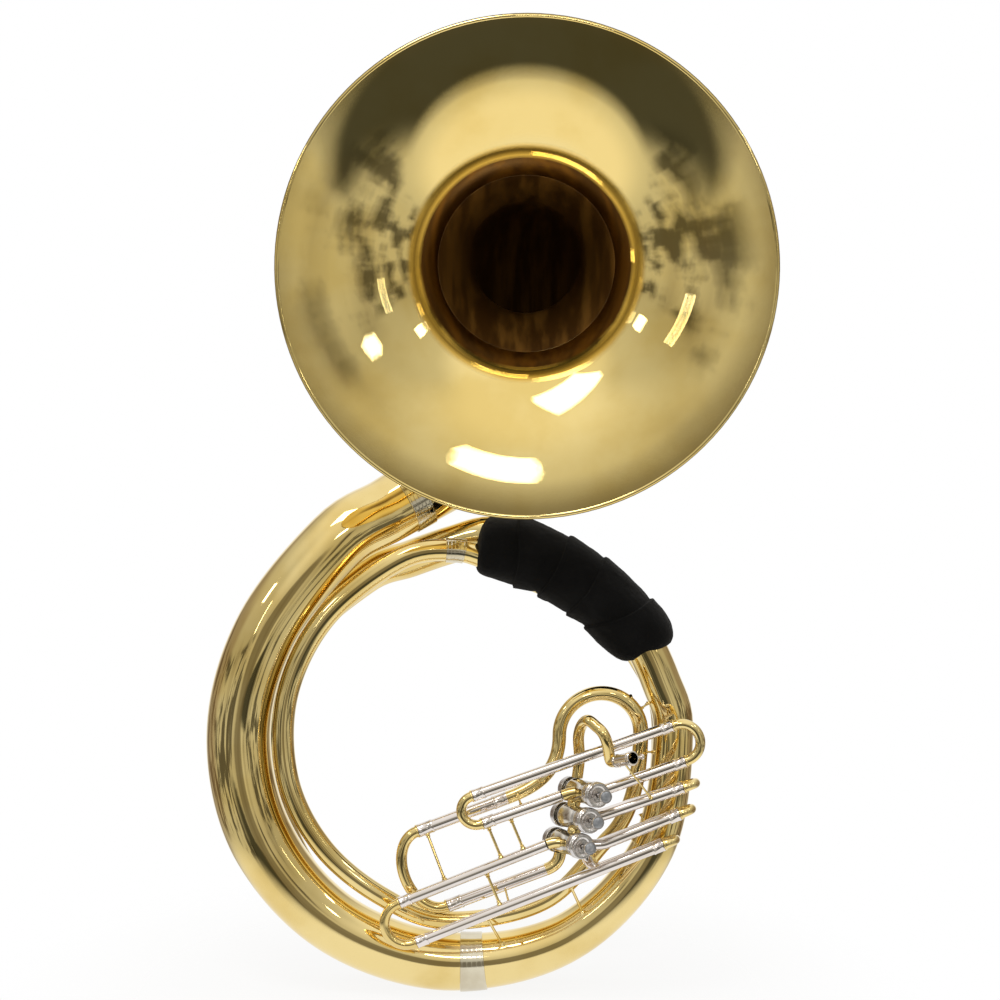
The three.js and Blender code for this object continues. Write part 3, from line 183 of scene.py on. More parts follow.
class NodeKit:
    """Builds the nodes of one material or world."""

    def __init__(self, tree: bpy.types.NodeTree) -> None:
        """Starts from an empty tree."""
        self.tree = tree
        tree.nodes.clear()

    def node(
        self, kind: str, settings: dict | None = None, values: dict | None = None, output: object = 0
    ) -> Signal:
        """Adds one node.

        Args:
            kind: The node's type.
            settings: Its properties, which are set first.
            values: The values or links of its sockets, by name or index.
            output: The name or index of the output that is handed back.

        Returns:
            That output.
        """
        made = self.tree.nodes.new(kind)
        for name, value in (settings or {}).items():
            if name == "stops":
                self._set_stops(made.color_ramp, value)
            else:
                setattr(made, name, value)
        for name, value in (values or {}).items():
            self.feed(made.inputs[name], value)
        return Signal(self, made.outputs[output])

    def _set_stops(self, ramp: bpy.types.ColorRamp, stops: Sequence[tuple[float, Sequence[float]]]) -> None:
        """Sets the stops of a ramp.

        Args:
            ramp: The ramp.
            stops: Each stop's place and colour.
        """
        while len(ramp.elements) < len(stops):
            ramp.elements.new(1)
        for element, (spot, colour) in zip(ramp.elements, stops):
            element.position = spot
            element.color = (*colour, 1)

    def feed(self, socket: bpy.types.NodeSocket, value: object) -> None:
        """Links or sets one input.

        Args:
            socket: The input.
            value: A signal to link, or a number or colour to set.
        """
        if isinstance(value, Signal):
            self.tree.links.new(value.socket, socket)
        elif isinstance(value, (tuple, list)) and len(value) == 3 and socket.type == "RGBA":
            socket.default_value = (*value, 1)
        else:
            socket.default_value = value

    def mix(self, factor: object, first: object, second: object) -> Signal:
        """The colour that has the factor's share of the second colour, and the first for the rest."""
        return self.node("ShaderNodeMix", {"data_type": "RGBA"}, {0: factor, 6: first, 7: second}, 2)

    def place(self, centre: Sequence[float] = (0, 0, 0), scale: Sequence[float] = (1, 1, 1)) -> Signal:
        """Object coordinates about a centre.

        Args:
            centre: The point that becomes zero.
            scale: A factor for each axis, after centring.

        Returns:
            The coordinates.
        """
        start = self.node("ShaderNodeTexCoord", output="Object")
        moved = self.node("ShaderNodeVectorMath", {"operation": "SUBTRACT"}, {0: start, 1: tuple(centre)})
        return self.node("ShaderNodeVectorMath", {"operation": "MULTIPLY"}, {0: moved, 1: tuple(scale)})

    def noise(self, coordinates: Signal, scale: float, detail: float = 3, roughness: float = 0.5) -> Signal:
        """A noise value about one half, with its cells in a metre, octaves and weight of the finer ones."""
        values = {"Vector": coordinates, "Scale": scale, "Detail": detail, "Roughness": roughness}
        return self.node("ShaderNodeTexNoise", None, values, "Fac")

    def axes(self, vector: Signal) -> tuple[Signal, Signal, Signal]:
        """The three parts of a vector.

        Args:
            vector: The vector.

        Returns:
            Its x, y and z.
        """
        parts = self.tree.nodes.new("ShaderNodeSeparateXYZ")
        self.feed(parts.inputs[0], vector)
        return tuple(Signal(self, parts.outputs[i]) for i in range(3))

    def ray(self, kind: str) -> Signal:
        """One for rays of a kind, such as Camera, and zero for the others."""
        return self.node("ShaderNodeLightPath", output=f"Is {kind} Ray")

    def shown(self) -> Signal:
        """One for rays from the camera, from metal and through glass."""
        rays = self.ray("Camera") + self.ray("Glossy") + self.ray("Transmission")
        return self.node("ShaderNodeMath", {"operation": "MINIMUM"}, {0: rays, 1: 1.0})

    def length(self, vector: Signal) -> Signal:
        """A vector's length."""
        return self.node("ShaderNodeVectorMath", {"operation": "LENGTH"}, {0: vector}, "Value")

    def bump(self, height: Signal, distance: float, strength: float = 1.0) -> Signal:
        """A bump from a height.

        Args:
            height: The height signal.
            distance: The height in metres of a signal of 1.
            strength: The bump's strength.

        Returns:
            The normal.
        """
        return self.node(
            "ShaderNodeBump", None, {"Strength": strength, "Distance": distance, "Height": height}
        )

    def surface(self, values: dict) -> None:
        """Adds the Principled shader with these sockets, and the output."""
        shader = self.node("ShaderNodeBsdfPrincipled", None, values)
        self.node_output(shader)

    def node_output(self, shader: Signal) -> None:
        """Adds the material output."""
        made = self.tree.nodes.new("ShaderNodeOutputMaterial")
        self.tree.links.new(shader.socket, made.inputs["Surface"])


@dataclass(frozen=True)
class Finish:
    """A finish, which builds its material once."""

    name: str

    def material(self) -> bpy.types.Material:
        """The finish's material, made on first use."""
        found = bpy.data.materials.get(self.name)
        if found:
            return found
        made = bpy.data.materials.new(self.name)
        made.use_nodes = True
        self.build(NodeKit(made.node_tree))
        return made

    def build(self, kit: NodeKit) -> None:
        """Builds the finish's nodes."""
        raise NotImplementedError


@dataclass(frozen=True)
class PolishedMetal(Finish):
    """Buffed metal under clear lacquer, with a slow drift of tone and faint buffing marks."""

    colour: Triple = (0.88, 0.70, 0.31)
    deep: Triple = (0.76, 0.56, 0.19)
    roughness: float = 0.035
    spread: float = 0.035
    lacquer: float = 0.4
    drift_scale: float = 9
    mark_height: float = 0.00004

    def build(self, kit: NodeKit) -> None:
        """Mixes the two tones by slow noise and lets fine noise dull the polish."""
        spot = kit.place()
        drift = kit.noise(spot, self.drift_scale, 4).between(0.35, 0.72)
        fine = kit.noise(spot, 260, 3, 0.6)
        smear = kit.noise(kit.place(scale=(1, 1, 0.25)), 38, 5, 0.65).between(0.45, 0.75)
        colour = kit.mix(drift, self.colour, self.deep)
        rough = smear * self.spread + fine * (self.spread * 0.35) + self.roughness
        kit.surface(
            {
                "Base Color": colour,
                "Metallic": 1.0,
                "Roughness": rough,
                "Coat Weight": self.lacquer,
                "Coat Roughness": 0.03,
                "Normal": kit.bump(kit.noise(spot, 60, 2), self.mark_height, 0.5),
            }
        )


@dataclass(frozen=True)
class SpunMetal(PolishedMetal):
    """Polished metal with the fine rings that spinning leaves round an axis."""

    centre: Triple = (0, 0, 0)
    ring_pitch: float = 0.0011

    def build(self, kit: NodeKit) -> None:
        """Adds rings about the bell's axis to the polish."""
        away = kit.length(kit.place(self.centre, (1, 0, 1)))
        wander = kit.noise(kit.place(), 14, 3)
        rings = (away * (2 * math.pi / self.ring_pitch) + wander * 9).sine() * 0.5 + 0.5
        broad = kit.noise(kit.place(self.centre), self.drift_scale, 4).between(0.38, 0.7)
        smear = kit.noise(kit.place(), 30, 5, 0.65).between(0.45, 0.8)
        colour = kit.mix(broad, self.colour, self.deep)
        rough = rings * (self.spread * 0.3) + smear * (self.spread * 0.7) + self.roughness
        kit.surface(
            {
                "Base Color": colour,
                "Metallic": 1.0,
                "Roughness": rough,
                "Coat Weight": self.lacquer,
                "Coat Roughness": 0.02,
                "Normal": kit.bump(rings, self.mark_height, 0.25),
            }
        )


@dataclass(frozen=True)
class SatinMetal(Finish):
    """Fine-brushed silver plate."""

    colour: Triple = (0.76, 0.73, 0.71)
    roughness: float = 0.19

    def build(self, kit: NodeKit) -> None:
        """Lets a fine grain and a slow smear set the roughness."""
        spot = kit.place()
        grain = kit.noise(spot, 900, 2, 0.6)
        smear = kit.noise(spot, 45, 4)
        colour = kit.mix(smear.between(0.35, 0.75), self.colour, tuple(c * 0.86 for c in self.colour))
        kit.surface(
            {
                "Base Color": colour,
                "Metallic": 1.0,
                "Roughness": grain * 0.14 + smear * 0.08 + (self.roughness - 0.11),
                "Normal": kit.bump(grain, 0.00002, 0.4),
            }
        )


@dataclass(frozen=True)
class ShellPearl(Finish):
    """Mother of pearl: layered tints that shift over a few millimetres."""

    tints: tuple[tuple[float, Triple], ...] = (
        (0, (0.30, 0.32, 0.35)),
        (0.4, (0.44, 0.45, 0.48)),
        (0.75, (0.52, 0.48, 0.51)),
        (1, (0.62, 0.64, 0.66)),
    )

    def build(self, kit: NodeKit) -> None:
        """Runs slow warped noise through a ramp of pale tints."""
        spot = kit.place()
        warp = kit.noise(spot, 130, 3)
        layers = (kit.noise(spot, 300, 3) * 3 + warp * 5).sine() * 0.5 + 0.5
        kit.surface(
            {
                "Base Color": kit.node("ShaderNodeValToRGB", {"stops": self.tints}, {0: layers}, "Color"),
                "Roughness": 0.14,
                "Metallic": 0.35,
                "Coat Weight": 1.0,
                "Coat Roughness": 0.02,
            }
        )


@dataclass(frozen=True)
class KnitWrap(Finish):
    """Black elastic cloth: a fine ribbed knit with lint and soft sheen."""

    dark: Triple = (0.0035, 0.0035, 0.0038)
    worn: Triple = (0.0065, 0.0065, 0.007)
    dust: Triple = (0.02, 0.02, 0.021)
    rib_pitch: float = 0.0016

    def build(self, kit: NodeKit) -> None:
        """Crosses two fine waves for the knit and adds slow wear."""
        spot = kit.place()
        side, depth, height = kit.axes(spot)
        across = side - height * 0.55
        along = side * 0.55 + height + depth * 0.6
        turn = 2 * math.pi / self.rib_pitch
        knit = (across * turn).sine() * (along * (turn * 0.8)).sine() * 0.5 + 0.5
        lint = kit.noise(spot, 420, 4, 0.7)
        fade = kit.noise(spot, 22, 4).between(0.35, 0.75)
        colour = kit.mix(fade, self.dark, self.worn)
        colour = kit.mix(lint.between(0.62, 0.8) * 0.25, colour, self.dust)
        kit.surface(
            {
                "Base Color": colour,
                "Roughness": lint * 0.1 + 0.82,
                "Specular IOR Level": 0.12,
                "Sheen Weight": 0.05,
                "Sheen Roughness": 0.5,
                "Normal": kit.bump(knit * 0.7 + lint * 0.5, 0.0005, 0.7),
            }
        )


@dataclass(frozen=True)
class ThroatShade(Finish):
    """Painted shade for the inside of the bell's throat: a dark brown, streaked up and down."""

    # The colour and the deep tone are painted shade: the throat is dark because light bounces many times
    # inside it.
    colour: Triple = (0.19, 0.086, 0.012)
    deep: Triple = (0.07, 0.028, 0.004)

    def build(self, kit: NodeKit) -> None:
        """Streaks the metal up and down."""
        streaks = kit.noise(kit.place(scale=(1, 0.2, 0.08)), 42, 3, 0.6).between(0.38, 0.66)
        kit.surface(
            {
                "Base Color": kit.mix(streaks, self.deep, self.colour),
                "Metallic": 0.45,
                "Roughness": streaks * 0.12 + 0.36,
            }
        )


@dataclass(frozen=True)
class PaleGround(Finish):
    """The studio floor, which the camera sees nearly white."""

    colour: Triple = (0.86, 0.855, 0.845)
    grain: Triple = (0.7, 0.7, 0.7)
    glow: float = 0.88
    near: float = 0.34
    far: float = 0.72
    middle: Triple = (-0.15, 0, -0.45)

    def build(self, kit: NodeKit) -> None:
        """Mixes a white glow into the plain floor, and lets it end softly."""
        colour = kit.mix(kit.noise(kit.place(), 30, 3) * 0.06, self.colour, self.grain)
        plain = kit.node("ShaderNodeBsdfDiffuse", None, {"Color": colour})
        white = kit.node("ShaderNodeEmission", None, {"Color": (1, 1, 1), "Strength": 1.0})
        shade = kit.node("ShaderNodeMixShader", None, {0: kit.shown() * self.glow, 1: plain, 2: white})
        away = kit.length(kit.place(self.middle))
        clear = kit.node("ShaderNodeBsdfTransparent", None, {"Color": (1, 1, 1)})
        fade = away.between(self.near, self.far)
        kit.node_output(kit.node("ShaderNodeMixShader", None, {0: fade, 1: shade, 2: clear}))


BRASS = PolishedMetal("lacquered brass")
NICKEL = PolishedMetal(
    "nickel silver",
    colour=(0.84, 0.78, 0.74),
    deep=(0.74, 0.68, 0.62),
    roughness=0.03,
    spread=0.04,
    lacquer=0.2,
    drift_scale=16,
)
SATIN = SatinMetal("satin silver")
FERRULE = PolishedMetal(
    "ferrule nickel",
    colour=(0.74, 0.68, 0.52),
    deep=(0.62, 0.55, 0.40),
    roughness=0.06,
    spread=0.05,
    lacquer=0.2,
    drift_scale=24,
)
CASING = SatinMetal("casing silver", colour=(0.70, 0.64, 0.53), roughness=0.16)
STEEL = SatinMetal("spring steel", colour=(0.5, 0.51, 0.53), roughness=0.3)
# The throat's finish is painted shade.
THROAT_SHADE = ThroatShade("throat painted shade")
PEARL = ShellPearl("shell pearl")
WRAP = KnitWrap("knit wrap")
GROUND = PaleGround("pale ground")


@dataclass
class Station:
    """One section of a tube's way."""

    point: Vector
    direction: Vector
    radius: float = 0.0

    def frame(self, reference: Vector) -> Matrix:
        """The section's own frame.

        Args:
            reference: The direction that its first point leans to.

        Returns:
            A matrix whose Z axis runs along the tube.
        """
        along = self.direction.normalized()
        side = (reference - along * reference.dot(along)).normalized()
        turn = Matrix((side, along.cross(side), along)).transposed()
        return Matrix.Translation(self.point) @ turn.to_4x4()

    def sized(self, radius: float) -> "Station":
        """The same section with another radius."""
        return Station(self.point, self.direction, radius)


class Ways:
    """The ways that tubes follow, as lists of stations."""

    @staticmethod
    def line(start: Vector, end: Vector, radius: float, steps: int = 1) -> list[Station]:
        """A straight way from one point to another in even steps, for a tube of one radius."""
        direction = (end - start).normalized()
        return [Station(start.lerp(end, i / steps), direction, radius) for i in range(steps + 1)]

    @staticmethod
    def bezier(points: Sequence[Vector], steps: int, radius: float = 0.0) -> list[Station]:
        """A cubic bend through four control points.

        Args:
            points: The four points.
            steps: Its steps.
            radius: The tube's radius.

        Returns:
            Its stations.
        """
        a, b, c, d = points
        made = []
        for i in range(steps + 1):
            t = i / steps
            s = 1 - t
            spot = a * s**3 + b * (3 * s * s * t) + c * (3 * s * t * t) + d * t**3
            way = (b - a) * (s * s) + (c - b) * (2 * s * t) + (d - c) * (t * t)
            made.append(Station(spot, way.normalized(), radius))
        return made

    @staticmethod
    def bend(
        start: Vector, out: Vector, pull: float, end: Vector, into: Vector, hold: float, steps: int
    ) -> list[Station]:
        """A smooth bend from one straight into another, with the pull of each at its end."""
        return Ways.bezier((start, start + out * pull, end - into * hold, end), steps)

    @staticmethod
    def bow(start: Vector, end: Vector, outward: Vector, steps: int, share: float = 1.0) -> list[Station]:
        """Half a turn from one leg to the other.

        Args:
            start: The first leg's end.
            end: The second leg's end.
            outward: The direction in which it bulges.
            steps: Its steps.
            share: How far it bulges, as a share of a round bow.

        Returns:
            Its stations.
        """
        middle = start.lerp(end, 0.5)
        arm = start - middle
        reach = outward.normalized() * (arm.length * share)
        made = []
        for i in range(steps + 1):
            turn = math.pi * i / steps
            spot = middle + arm * math.cos(turn) + reach * math.sin(turn)
            made.append(Station(spot, (reach * math.cos(turn) - arm * math.sin(turn)).normalized()))
        return made

    @staticmethod
    def through(points: Sequence[Vector], share: float) -> tuple[Vector, Vector]:
        """A point and direction of an even smooth curve through points.

        Args:
            points: The points.
            share: The share of the curve's spans, from 0 to 1.

        Returns:
            The point and the direction.
        """
        spans = len(points) - 1
        i = min(int(share * spans), spans - 1)
        t = share * spans - i
        p1, p2 = points[i], points[i + 1]
        p0 = points[i - 1] if i > 0 else p1 * 2 - p2
        p3 = points[i + 2] if i + 2 < len(points) else p2 * 2 - p1
        m1, m2 = (p2 - p0) / 2, (p3 - p1) / 2
        spot = (
            p1 * (2 * t**3 - 3 * t**2 + 1)
            + m1 * (t**3 - 2 * t**2 + t)
            + p2 * (3 * t**2 - 2 * t**3)
            + m2 * (t**3 - t**2)
        )
        way = p1 * (6 * t**2 - 6 * t) + m1 * (
            3 * t**2 - 4 * t + 1
        ) + p2 * (6 * t - 6 * t**2) + m2 * (3 * t**2 - 2 * t)
        return spot, way.normalized()

    @staticmethod
    def eased(points: Sequence[Vector], steps: int) -> list[Station]:
        """A curve through points whose knots are spaced by the root of their distance.

        Args:
            points: The points.
            steps: The steps between each pair of them.

        Returns:
            Its stations, without a radius.
        """
        ends = [points[0] * 2 - points[1], *points, points[-1] * 2 - points[-2]]
        made = []
        for p0, p1, p2, p3 in zip(ends, ends[1:], ends[2:], ends[3:]):
            d0, d1, d2 = (math.sqrt((b - a).length) for a, b in ((p0, p1), (p1, p2), (p2, p3)))
            m1 = ((p1 - p0) / d0 - (p2 - p0) / (d0 + d1) + (p2 - p1) / d1) * d1
            m2 = ((p2 - p1) / d1 - (p3 - p1) / (d1 + d2) + (p3 - p2) / d2) * d1
            piece = Ways.bezier((p1, p1 + m1 / 3, p2 - m2 / 3, p2), steps)
            made.extend(piece[1:] if made else piece)
        return made

    @staticmethod
    def joined(*runs: Sequence[Station]) -> list[Station]:
        """Runs end to end, with one station where two meet."""
        made = list(runs[0])
        for run in runs[1:]:
            made.extend(run[1:])
        return made

    @staticmethod
    def sized(run: Iterable[Station], radius: float | Callable[[float], float]) -> list[Station]:
        """A way with its tube's radius set.

        Args:
            run: The way.
            radius: The radius, or a function of the share of the way.

        Returns:
            The stations.
        """
        stations = list(run)
        last = max(1, len(stations) - 1)
        return [s.sized(radius(i / last) if callable(radius) else radius) for i, s in enumerate(stations)]


class Shaper:
    """Makes meshes with bmesh operators."""

    @staticmethod
    def grow(
        made: bmesh.types.BMesh, edges: list[bmesh.types.BMEdge]
    ) -> tuple[list[bmesh.types.BMEdge], list[bmesh.types.BMVert]]:
        """Extrudes a loop of edges in place.

        Args:
            made: The mesh.
            edges: The loop's edges.

        Returns:
            The new loop's edges and corners.
        """
        grown = bmesh.ops.extrude_edge_only(made, edges=edges)["geom"]
        corners = {item for item in grown if isinstance(item, bmesh.types.BMVert)}
        ring = [e for e in grown if isinstance(e, bmesh.types.BMEdge) and set(e.verts) <= corners]
        return ring, list(corners)

    @staticmethod
    def skin(rings: Sequence[Station], sides: int, reference: Vector, closed: bool) -> bmesh.types.BMesh:
        """Sweeps a circle from ring to ring.

        Args:
            rings: The rings in order.
            sides: The circle's sides.
            reference: The direction that keeps the sections from twisting.
            closed: Whether the last ring joins the first. Otherwise both ends are capped.

        Returns:
            The mesh.
        """
        made = bmesh.new()
        frames = [ring.frame(reference) for ring in rings]
        bmesh.ops.create_circle(
            made, cap_ends=not closed, radius=rings[0].radius, segments=sides, matrix=frames[0]
        )
        first = list(made.edges)
        edges = first
        for i in range(1, len(rings)):
            edges, corners = Shaper.grow(made, edges)
            size = Matrix.Scale(rings[i].radius / rings[i - 1].radius, 4)
            bmesh.ops.transform(made, matrix=frames[i] @ size @ frames[i - 1].inverted(), verts=corners)
        if closed:
            bmesh.ops.bridge_loops(made, edges=edges + first)
        else:
            bmesh.ops.edgeloop_fill(made, edges=edges)
        bmesh.ops.recalc_face_normals(made, faces=made.faces)
        return made

    @staticmethod
    def tube(
        way: Sequence[Station], wall: float, sides: int = 40, reference: Vector = DEPTH, lip: float = 0.0
    ) -> bmesh.types.BMesh:
        """A tube that is open at both ends.

        Args:
            way: Its outer stations.
            wall: The wall's thickness.
            sides: Its sides.
            reference: The direction that keeps its sections from twisting.
            lip: The depth over which each end is rounded.

        Returns:
            The mesh.
        """
        inner = [s.sized(s.radius - wall) for s in reversed(way)]
        if not lip:
            return Shaper.skin([*way, *inner], sides, reference, True)
        near, far = way[0], way[-1]
        start = Station(
            near.point - near.direction.normalized() * lip, near.direction, near.radius - wall / 2
        )
        end = Station(far.point + far.direction.normalized() * lip, far.direction, far.radius - wall / 2)
        return Shaper.skin([start, *way, end, *inner], sides, reference, True)

    @staticmethod
    def turned(profile: Sequence[tuple[float, float]], frame: Matrix, steps: int = 48) -> bmesh.types.BMesh:
        """Turns a closed profile about its frame's Z axis.

        Args:
            profile: Points of radius and height. It is closed by itself.
            frame: Where it stands.
            steps: The turn's steps.

        Returns:
            The mesh.
        """
        made = bmesh.new()
        corners = [made.verts.new((radius, 0, height)) for radius, height in profile]
        edges = [made.edges.new(pair) for pair in zip(corners, corners[1:] + corners[:1])]
        on_axis = [e for e in edges if all(abs(v.co.x) < 1e-7 for v in e.verts)]
        for edge in on_axis:
            edges.remove(edge)
            made.edges.remove(edge)
        bmesh.ops.spin(
            made,
            geom=[*corners, *edges],
            cent=(0, 0, 0),
            axis=(0, 0, 1),
            angle=2 * math.pi,
            steps=steps,
            use_merge=True,
            use_duplicate=False,
        )
        bmesh.ops.remove_doubles(made, verts=made.verts, dist=1e-7)
        bmesh.ops.recalc_face_normals(made, faces=made.faces)
        bmesh.ops.transform(made, matrix=frame, verts=made.verts)
        return made

    @staticmethod
    def post(start: Vector, end: Vector, radius: float, foot: float) -> bmesh.types.BMesh:
        """A turned brace post with a flared foot at each end and a slim collar beside each.

        Args:
            start: The middle of its first foot.
            end: The middle of its last foot.
            radius: The post's radius.
            foot: The feet's radius.

        Returns:
            The mesh.
        """
        length = (end - start).length
        rise = min(foot * 0.9, length * 0.2)
        half = [
            (0, 0),
            (foot, 0),
            (foot, rise * 0.25),
            (radius * 1.5, rise * 0.6),
            (radius * 1.15, rise),
            (radius * 1.6, rise * 1.12),
            (radius * 1.6, rise * 1.35),
            (radius, rise * 1.5),
        ]
        profile = half + [(r, length - h) for r, h in reversed(half)]
        reference = DEPTH if abs((end - start).normalized().y) < 0.7 else UP
        return Shaper.turned(profile, Station(start, end - start).frame(reference), 20)

    @staticmethod
    def merged(parts: Sequence[bmesh.types.BMesh]) -> bmesh.types.BMesh:
        """Puts several meshes into one.

        Args:
            parts: The meshes, which are used up.

        Returns:
            The mesh that holds them all.
        """
        whole = bmesh.new()
        for part in parts:
            held = bpy.data.meshes.new("held")
            part.to_mesh(held)
            part.free()
            whole.from_mesh(held)
            bpy.data.meshes.remove(held)
        return whole


class Piece:
    """Turns meshes into finished pieces of the horn."""

    SHARP = math.radians(38)

    @staticmethod
    def place(name: str, shape: bmesh.types.BMesh, finish: Finish | None = None) -> bpy.types.Object:
        """Puts a mesh into the scene as an object at the origin.

        Args:
            name: The object's name.
            shape: Its mesh, which is used up.
            finish: Its finish, if it has one yet.

        Returns:
            The object.
        """
        mesh = bpy.data.meshes.new(name)
        shape.to_mesh(mesh)
        shape.free()
        if finish:
            mesh.materials.append(finish.material())
        made = bpy.data.objects.new(name, mesh)
        bpy.context.scene.collection.objects.link(made)
        return made

    @staticmethod
    def add(
        name: str,
        shape: bmesh.types.BMesh,
        finish: Finish,
        slot: Slot,
        body: str = "horn",
        nodes: Sequence[str] = (),
        bevel: float = 0.0,
    ) -> bpy.types.Object:
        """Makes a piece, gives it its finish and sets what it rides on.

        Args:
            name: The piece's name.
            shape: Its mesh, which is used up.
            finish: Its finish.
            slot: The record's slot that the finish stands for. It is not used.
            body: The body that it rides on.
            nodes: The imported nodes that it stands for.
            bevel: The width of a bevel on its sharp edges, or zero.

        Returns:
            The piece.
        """
        for face in shape.faces:
            face.smooth = True
        for edge in shape.edges:
            edge.smooth = len(edge.link_faces) != 2 or edge.calc_face_angle(0) < Piece.SHARP
        made = Piece.place(name, shape, finish)
        if bevel:
            rounding = made.modifiers.new("edges", "BEVEL")
            rounding.width = bevel
            rounding.segments = 2
            rounding.limit_method = "ANGLE"
            rounding.angle_limit = Piece.SHARP
            rounding.harden_normals = True
        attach(made, body)
        if nodes:
            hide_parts(*nodes)
        LOG.info("%s: %d faces on %s", name, len(made.data.polygons), body)
        return made


@dataclass
class Winding:
    """The body's brass tube, from the loop at the valves to the bell's collar."""

    wall: float = 0.001
    sides: int = 72
    step: float = 2.2
    half_span: float = 3.0
    ferrule_wall: float = 0.0016
    groove: float = 0.00016
    grooves: int = 5
    inner_joint: float = 88
    rear_joint: float = -92
    bottom_joint: float = -444
    stem_shares: Triple = (0.364, 0.43, 1.754)
    flange_height: float = 0.006
    collar_height: float = 0.046
    collar_seat: float = 0.014
    collar_radius: float = 0.057
    top_pull_shares: tuple[float, float] = (0.31, 0.21)
    top_joint: float = 0.12
    top_half: float = 0.05
    top_fineness: int = 1000
    top_steps: int = 60
    ferrule_steps: int = 60
    cut_half: float = 0.07
    turn_shares: tuple[tuple[float, float, float, float], ...] = (
        (328, 0.906, -0.042, 0.0385),
        (300, 0.917, -0.053, 0.0410),
        (270, 0.885, -0.066, 0.0440),
        (248, 0.830, -0.066, 0.0465),
        (222, 0.795, -0.064, 0.0485),
        (195, 0.780, -0.053, 0.0500),
        (165, 0.781, -0.040, 0.0508),
        (135, 0.808, -0.027, 0.0513),
        (105, 0.872, -0.013, 0.0517),
        (88, 0.885, 0.003, 0.0517),
        (75, 0.851, 0.033, 0.0520),
        (63, 0.829, 0.100, 0.0525),
        (50, 0.847, 0.168, 0.0533),
        (36, 0.893, 0.205, 0.0543),
        (20, 0.970, 0.220, 0.0553),
        (0, 1.030, 0.220, 0.0567),
        (-33, 1.123, 0.227, 0.0600),
        (-62, 1.163, 0.240, 0.0650),
        (-90, 1.170, 0.253, 0.0700),
        (-118, 1.093, 0.260, 0.0733),
        (-147, 0.970, 0.260, 0.0783),
        (-176, 0.890, 0.263, 0.0817),
        (-207, 0.850, 0.273, 0.0843),
        (-240, 0.817, 0.307, 0.0877),
        (-257, 0.815, 0.320, 0.0893),
        (-271, 0.870, 0.273, 0.0903),
        (-283, 0.953, 0.193, 0.0913),
        (-297, 0.993, 0.097, 0.0920),
        (-312, 1.003, 0.037, 0.0927),
        (-328, 1.020, 0.007, 0.0933),
        (-345, 1.037, 0, 0.0943),
        (-360, 1.065, 0, 0.0960),
        (-390, 1.116, 0, 0.1050),
        (-420, 1.138, 0, 0.1170),
        (-450, 1.105, 0, 0.1400),
        (-480, 1.067, 0.007, 0.1490),
        (-510, 1.024, 0.017, 0.1580),
        (-540, 0.993, 0.027, 0.1530),
        (-570, 0.992, 0.040, 0.1500),
        (-600, 1.052, 0.133, 0.1510),
        (-615, 1.083, 0.233, 0.1560),
    )
    angles: list[float] = field(init=False)
    points: list[Vector] = field(init=False)

    def __post_init__(self) -> None:
        """Works out the run's points from its shares."""
        self.angles = [row[0] for row in self.turn_shares]
        self.points = []
        for angle, away, depth, _ in self.turn_shares:
            turn = math.radians(angle)
            self.points.append(RING_CENTRE + place((away * math.cos(turn), depth, away * math.sin(turn))))

    @property
    def stem(self) -> Vector:
        """The middle of the bell's flange."""
        return RING_CENTRE + place(self.stem_shares)

    @property
    def collar_base(self) -> Vector:
        """The foot of the collar."""
        return self.stem - UP * (self.flange_height + self.collar_height)

    def station(self, angle: float) -> Station:
        """The run's station at an angle.

        Args:
            angle: The angle in degrees.

        Returns:
            The station, with the tube's radius.
        """
        last = len(self.angles) - 1
        i = 0
        while i < last - 1 and self.angles[i + 1] > angle:
            i += 1
        span = (self.angles[i] - angle) / (self.angles[i] - self.angles[i + 1])
        spot, way = Ways.through(self.points, (i + span) / last)
        near, far = self.turn_shares[i][3], self.turn_shares[i + 1][3]
        return Station(spot, way, (near + (far - near) * span) * RING_RADIUS)

    def run(self, start: float, end: float) -> list[Station]:
        """The run of the body between two angles."""
        count = max(1, round(abs(end - start) / self.step))
        return [self.station(start + (end - start) * i / count) for i in range(count + 1)]

    def top(self, start: float, end: float, steps: int) -> list[Station]:
        """The way from the ring up to the collar.

        Args:
            start: The first share of it.
            end: The last share of it.
            steps: Its steps.

        Returns:
            Its stations.
        """
        foot = self.station(self.angles[-1])
        pull, hold = (share * RING_RADIUS for share in self.top_pull_shares)
        points = (
            foot.point, foot.point + foot.direction * pull, self.collar_base - UP * hold, self.collar_base
        )
        fine = Ways.bezier(points, self.top_fineness)
        made = []
        for i in range(steps + 1):
            share = start + (end - start) * i / steps
            station = fine[round(share * self.top_fineness)]
            made.append(station.sized(foot.radius + (self.collar_radius - foot.radius) * share))
        return made

    def ferrule(self, stations: Sequence[Station]) -> bmesh.types.BMesh:
        """A sleeve over a joint with fine engraved lines.

        Args:
            stations: The tube's stations under it.

        Returns:
            The mesh.
        """
        last = len(stations) - 1
        outer = []
        for i, s in enumerate(stations):
            share = i / last
            cut = abs(share * self.grooves % 1 - 0.5) < self.cut_half
            edge = min(1, min(share, 1 - share) * last)
            size = s.radius + CLEARANCE + self.ferrule_wall * (0.5 + 0.5 * edge) - self.groove * cut
            outer.append(s.sized(size))
        inner = [s.sized(s.radius + CLEARANCE / 2) for s in reversed(stations)]
        return Shaper.skin([*outer, *inner], self.sides, DEPTH, True)

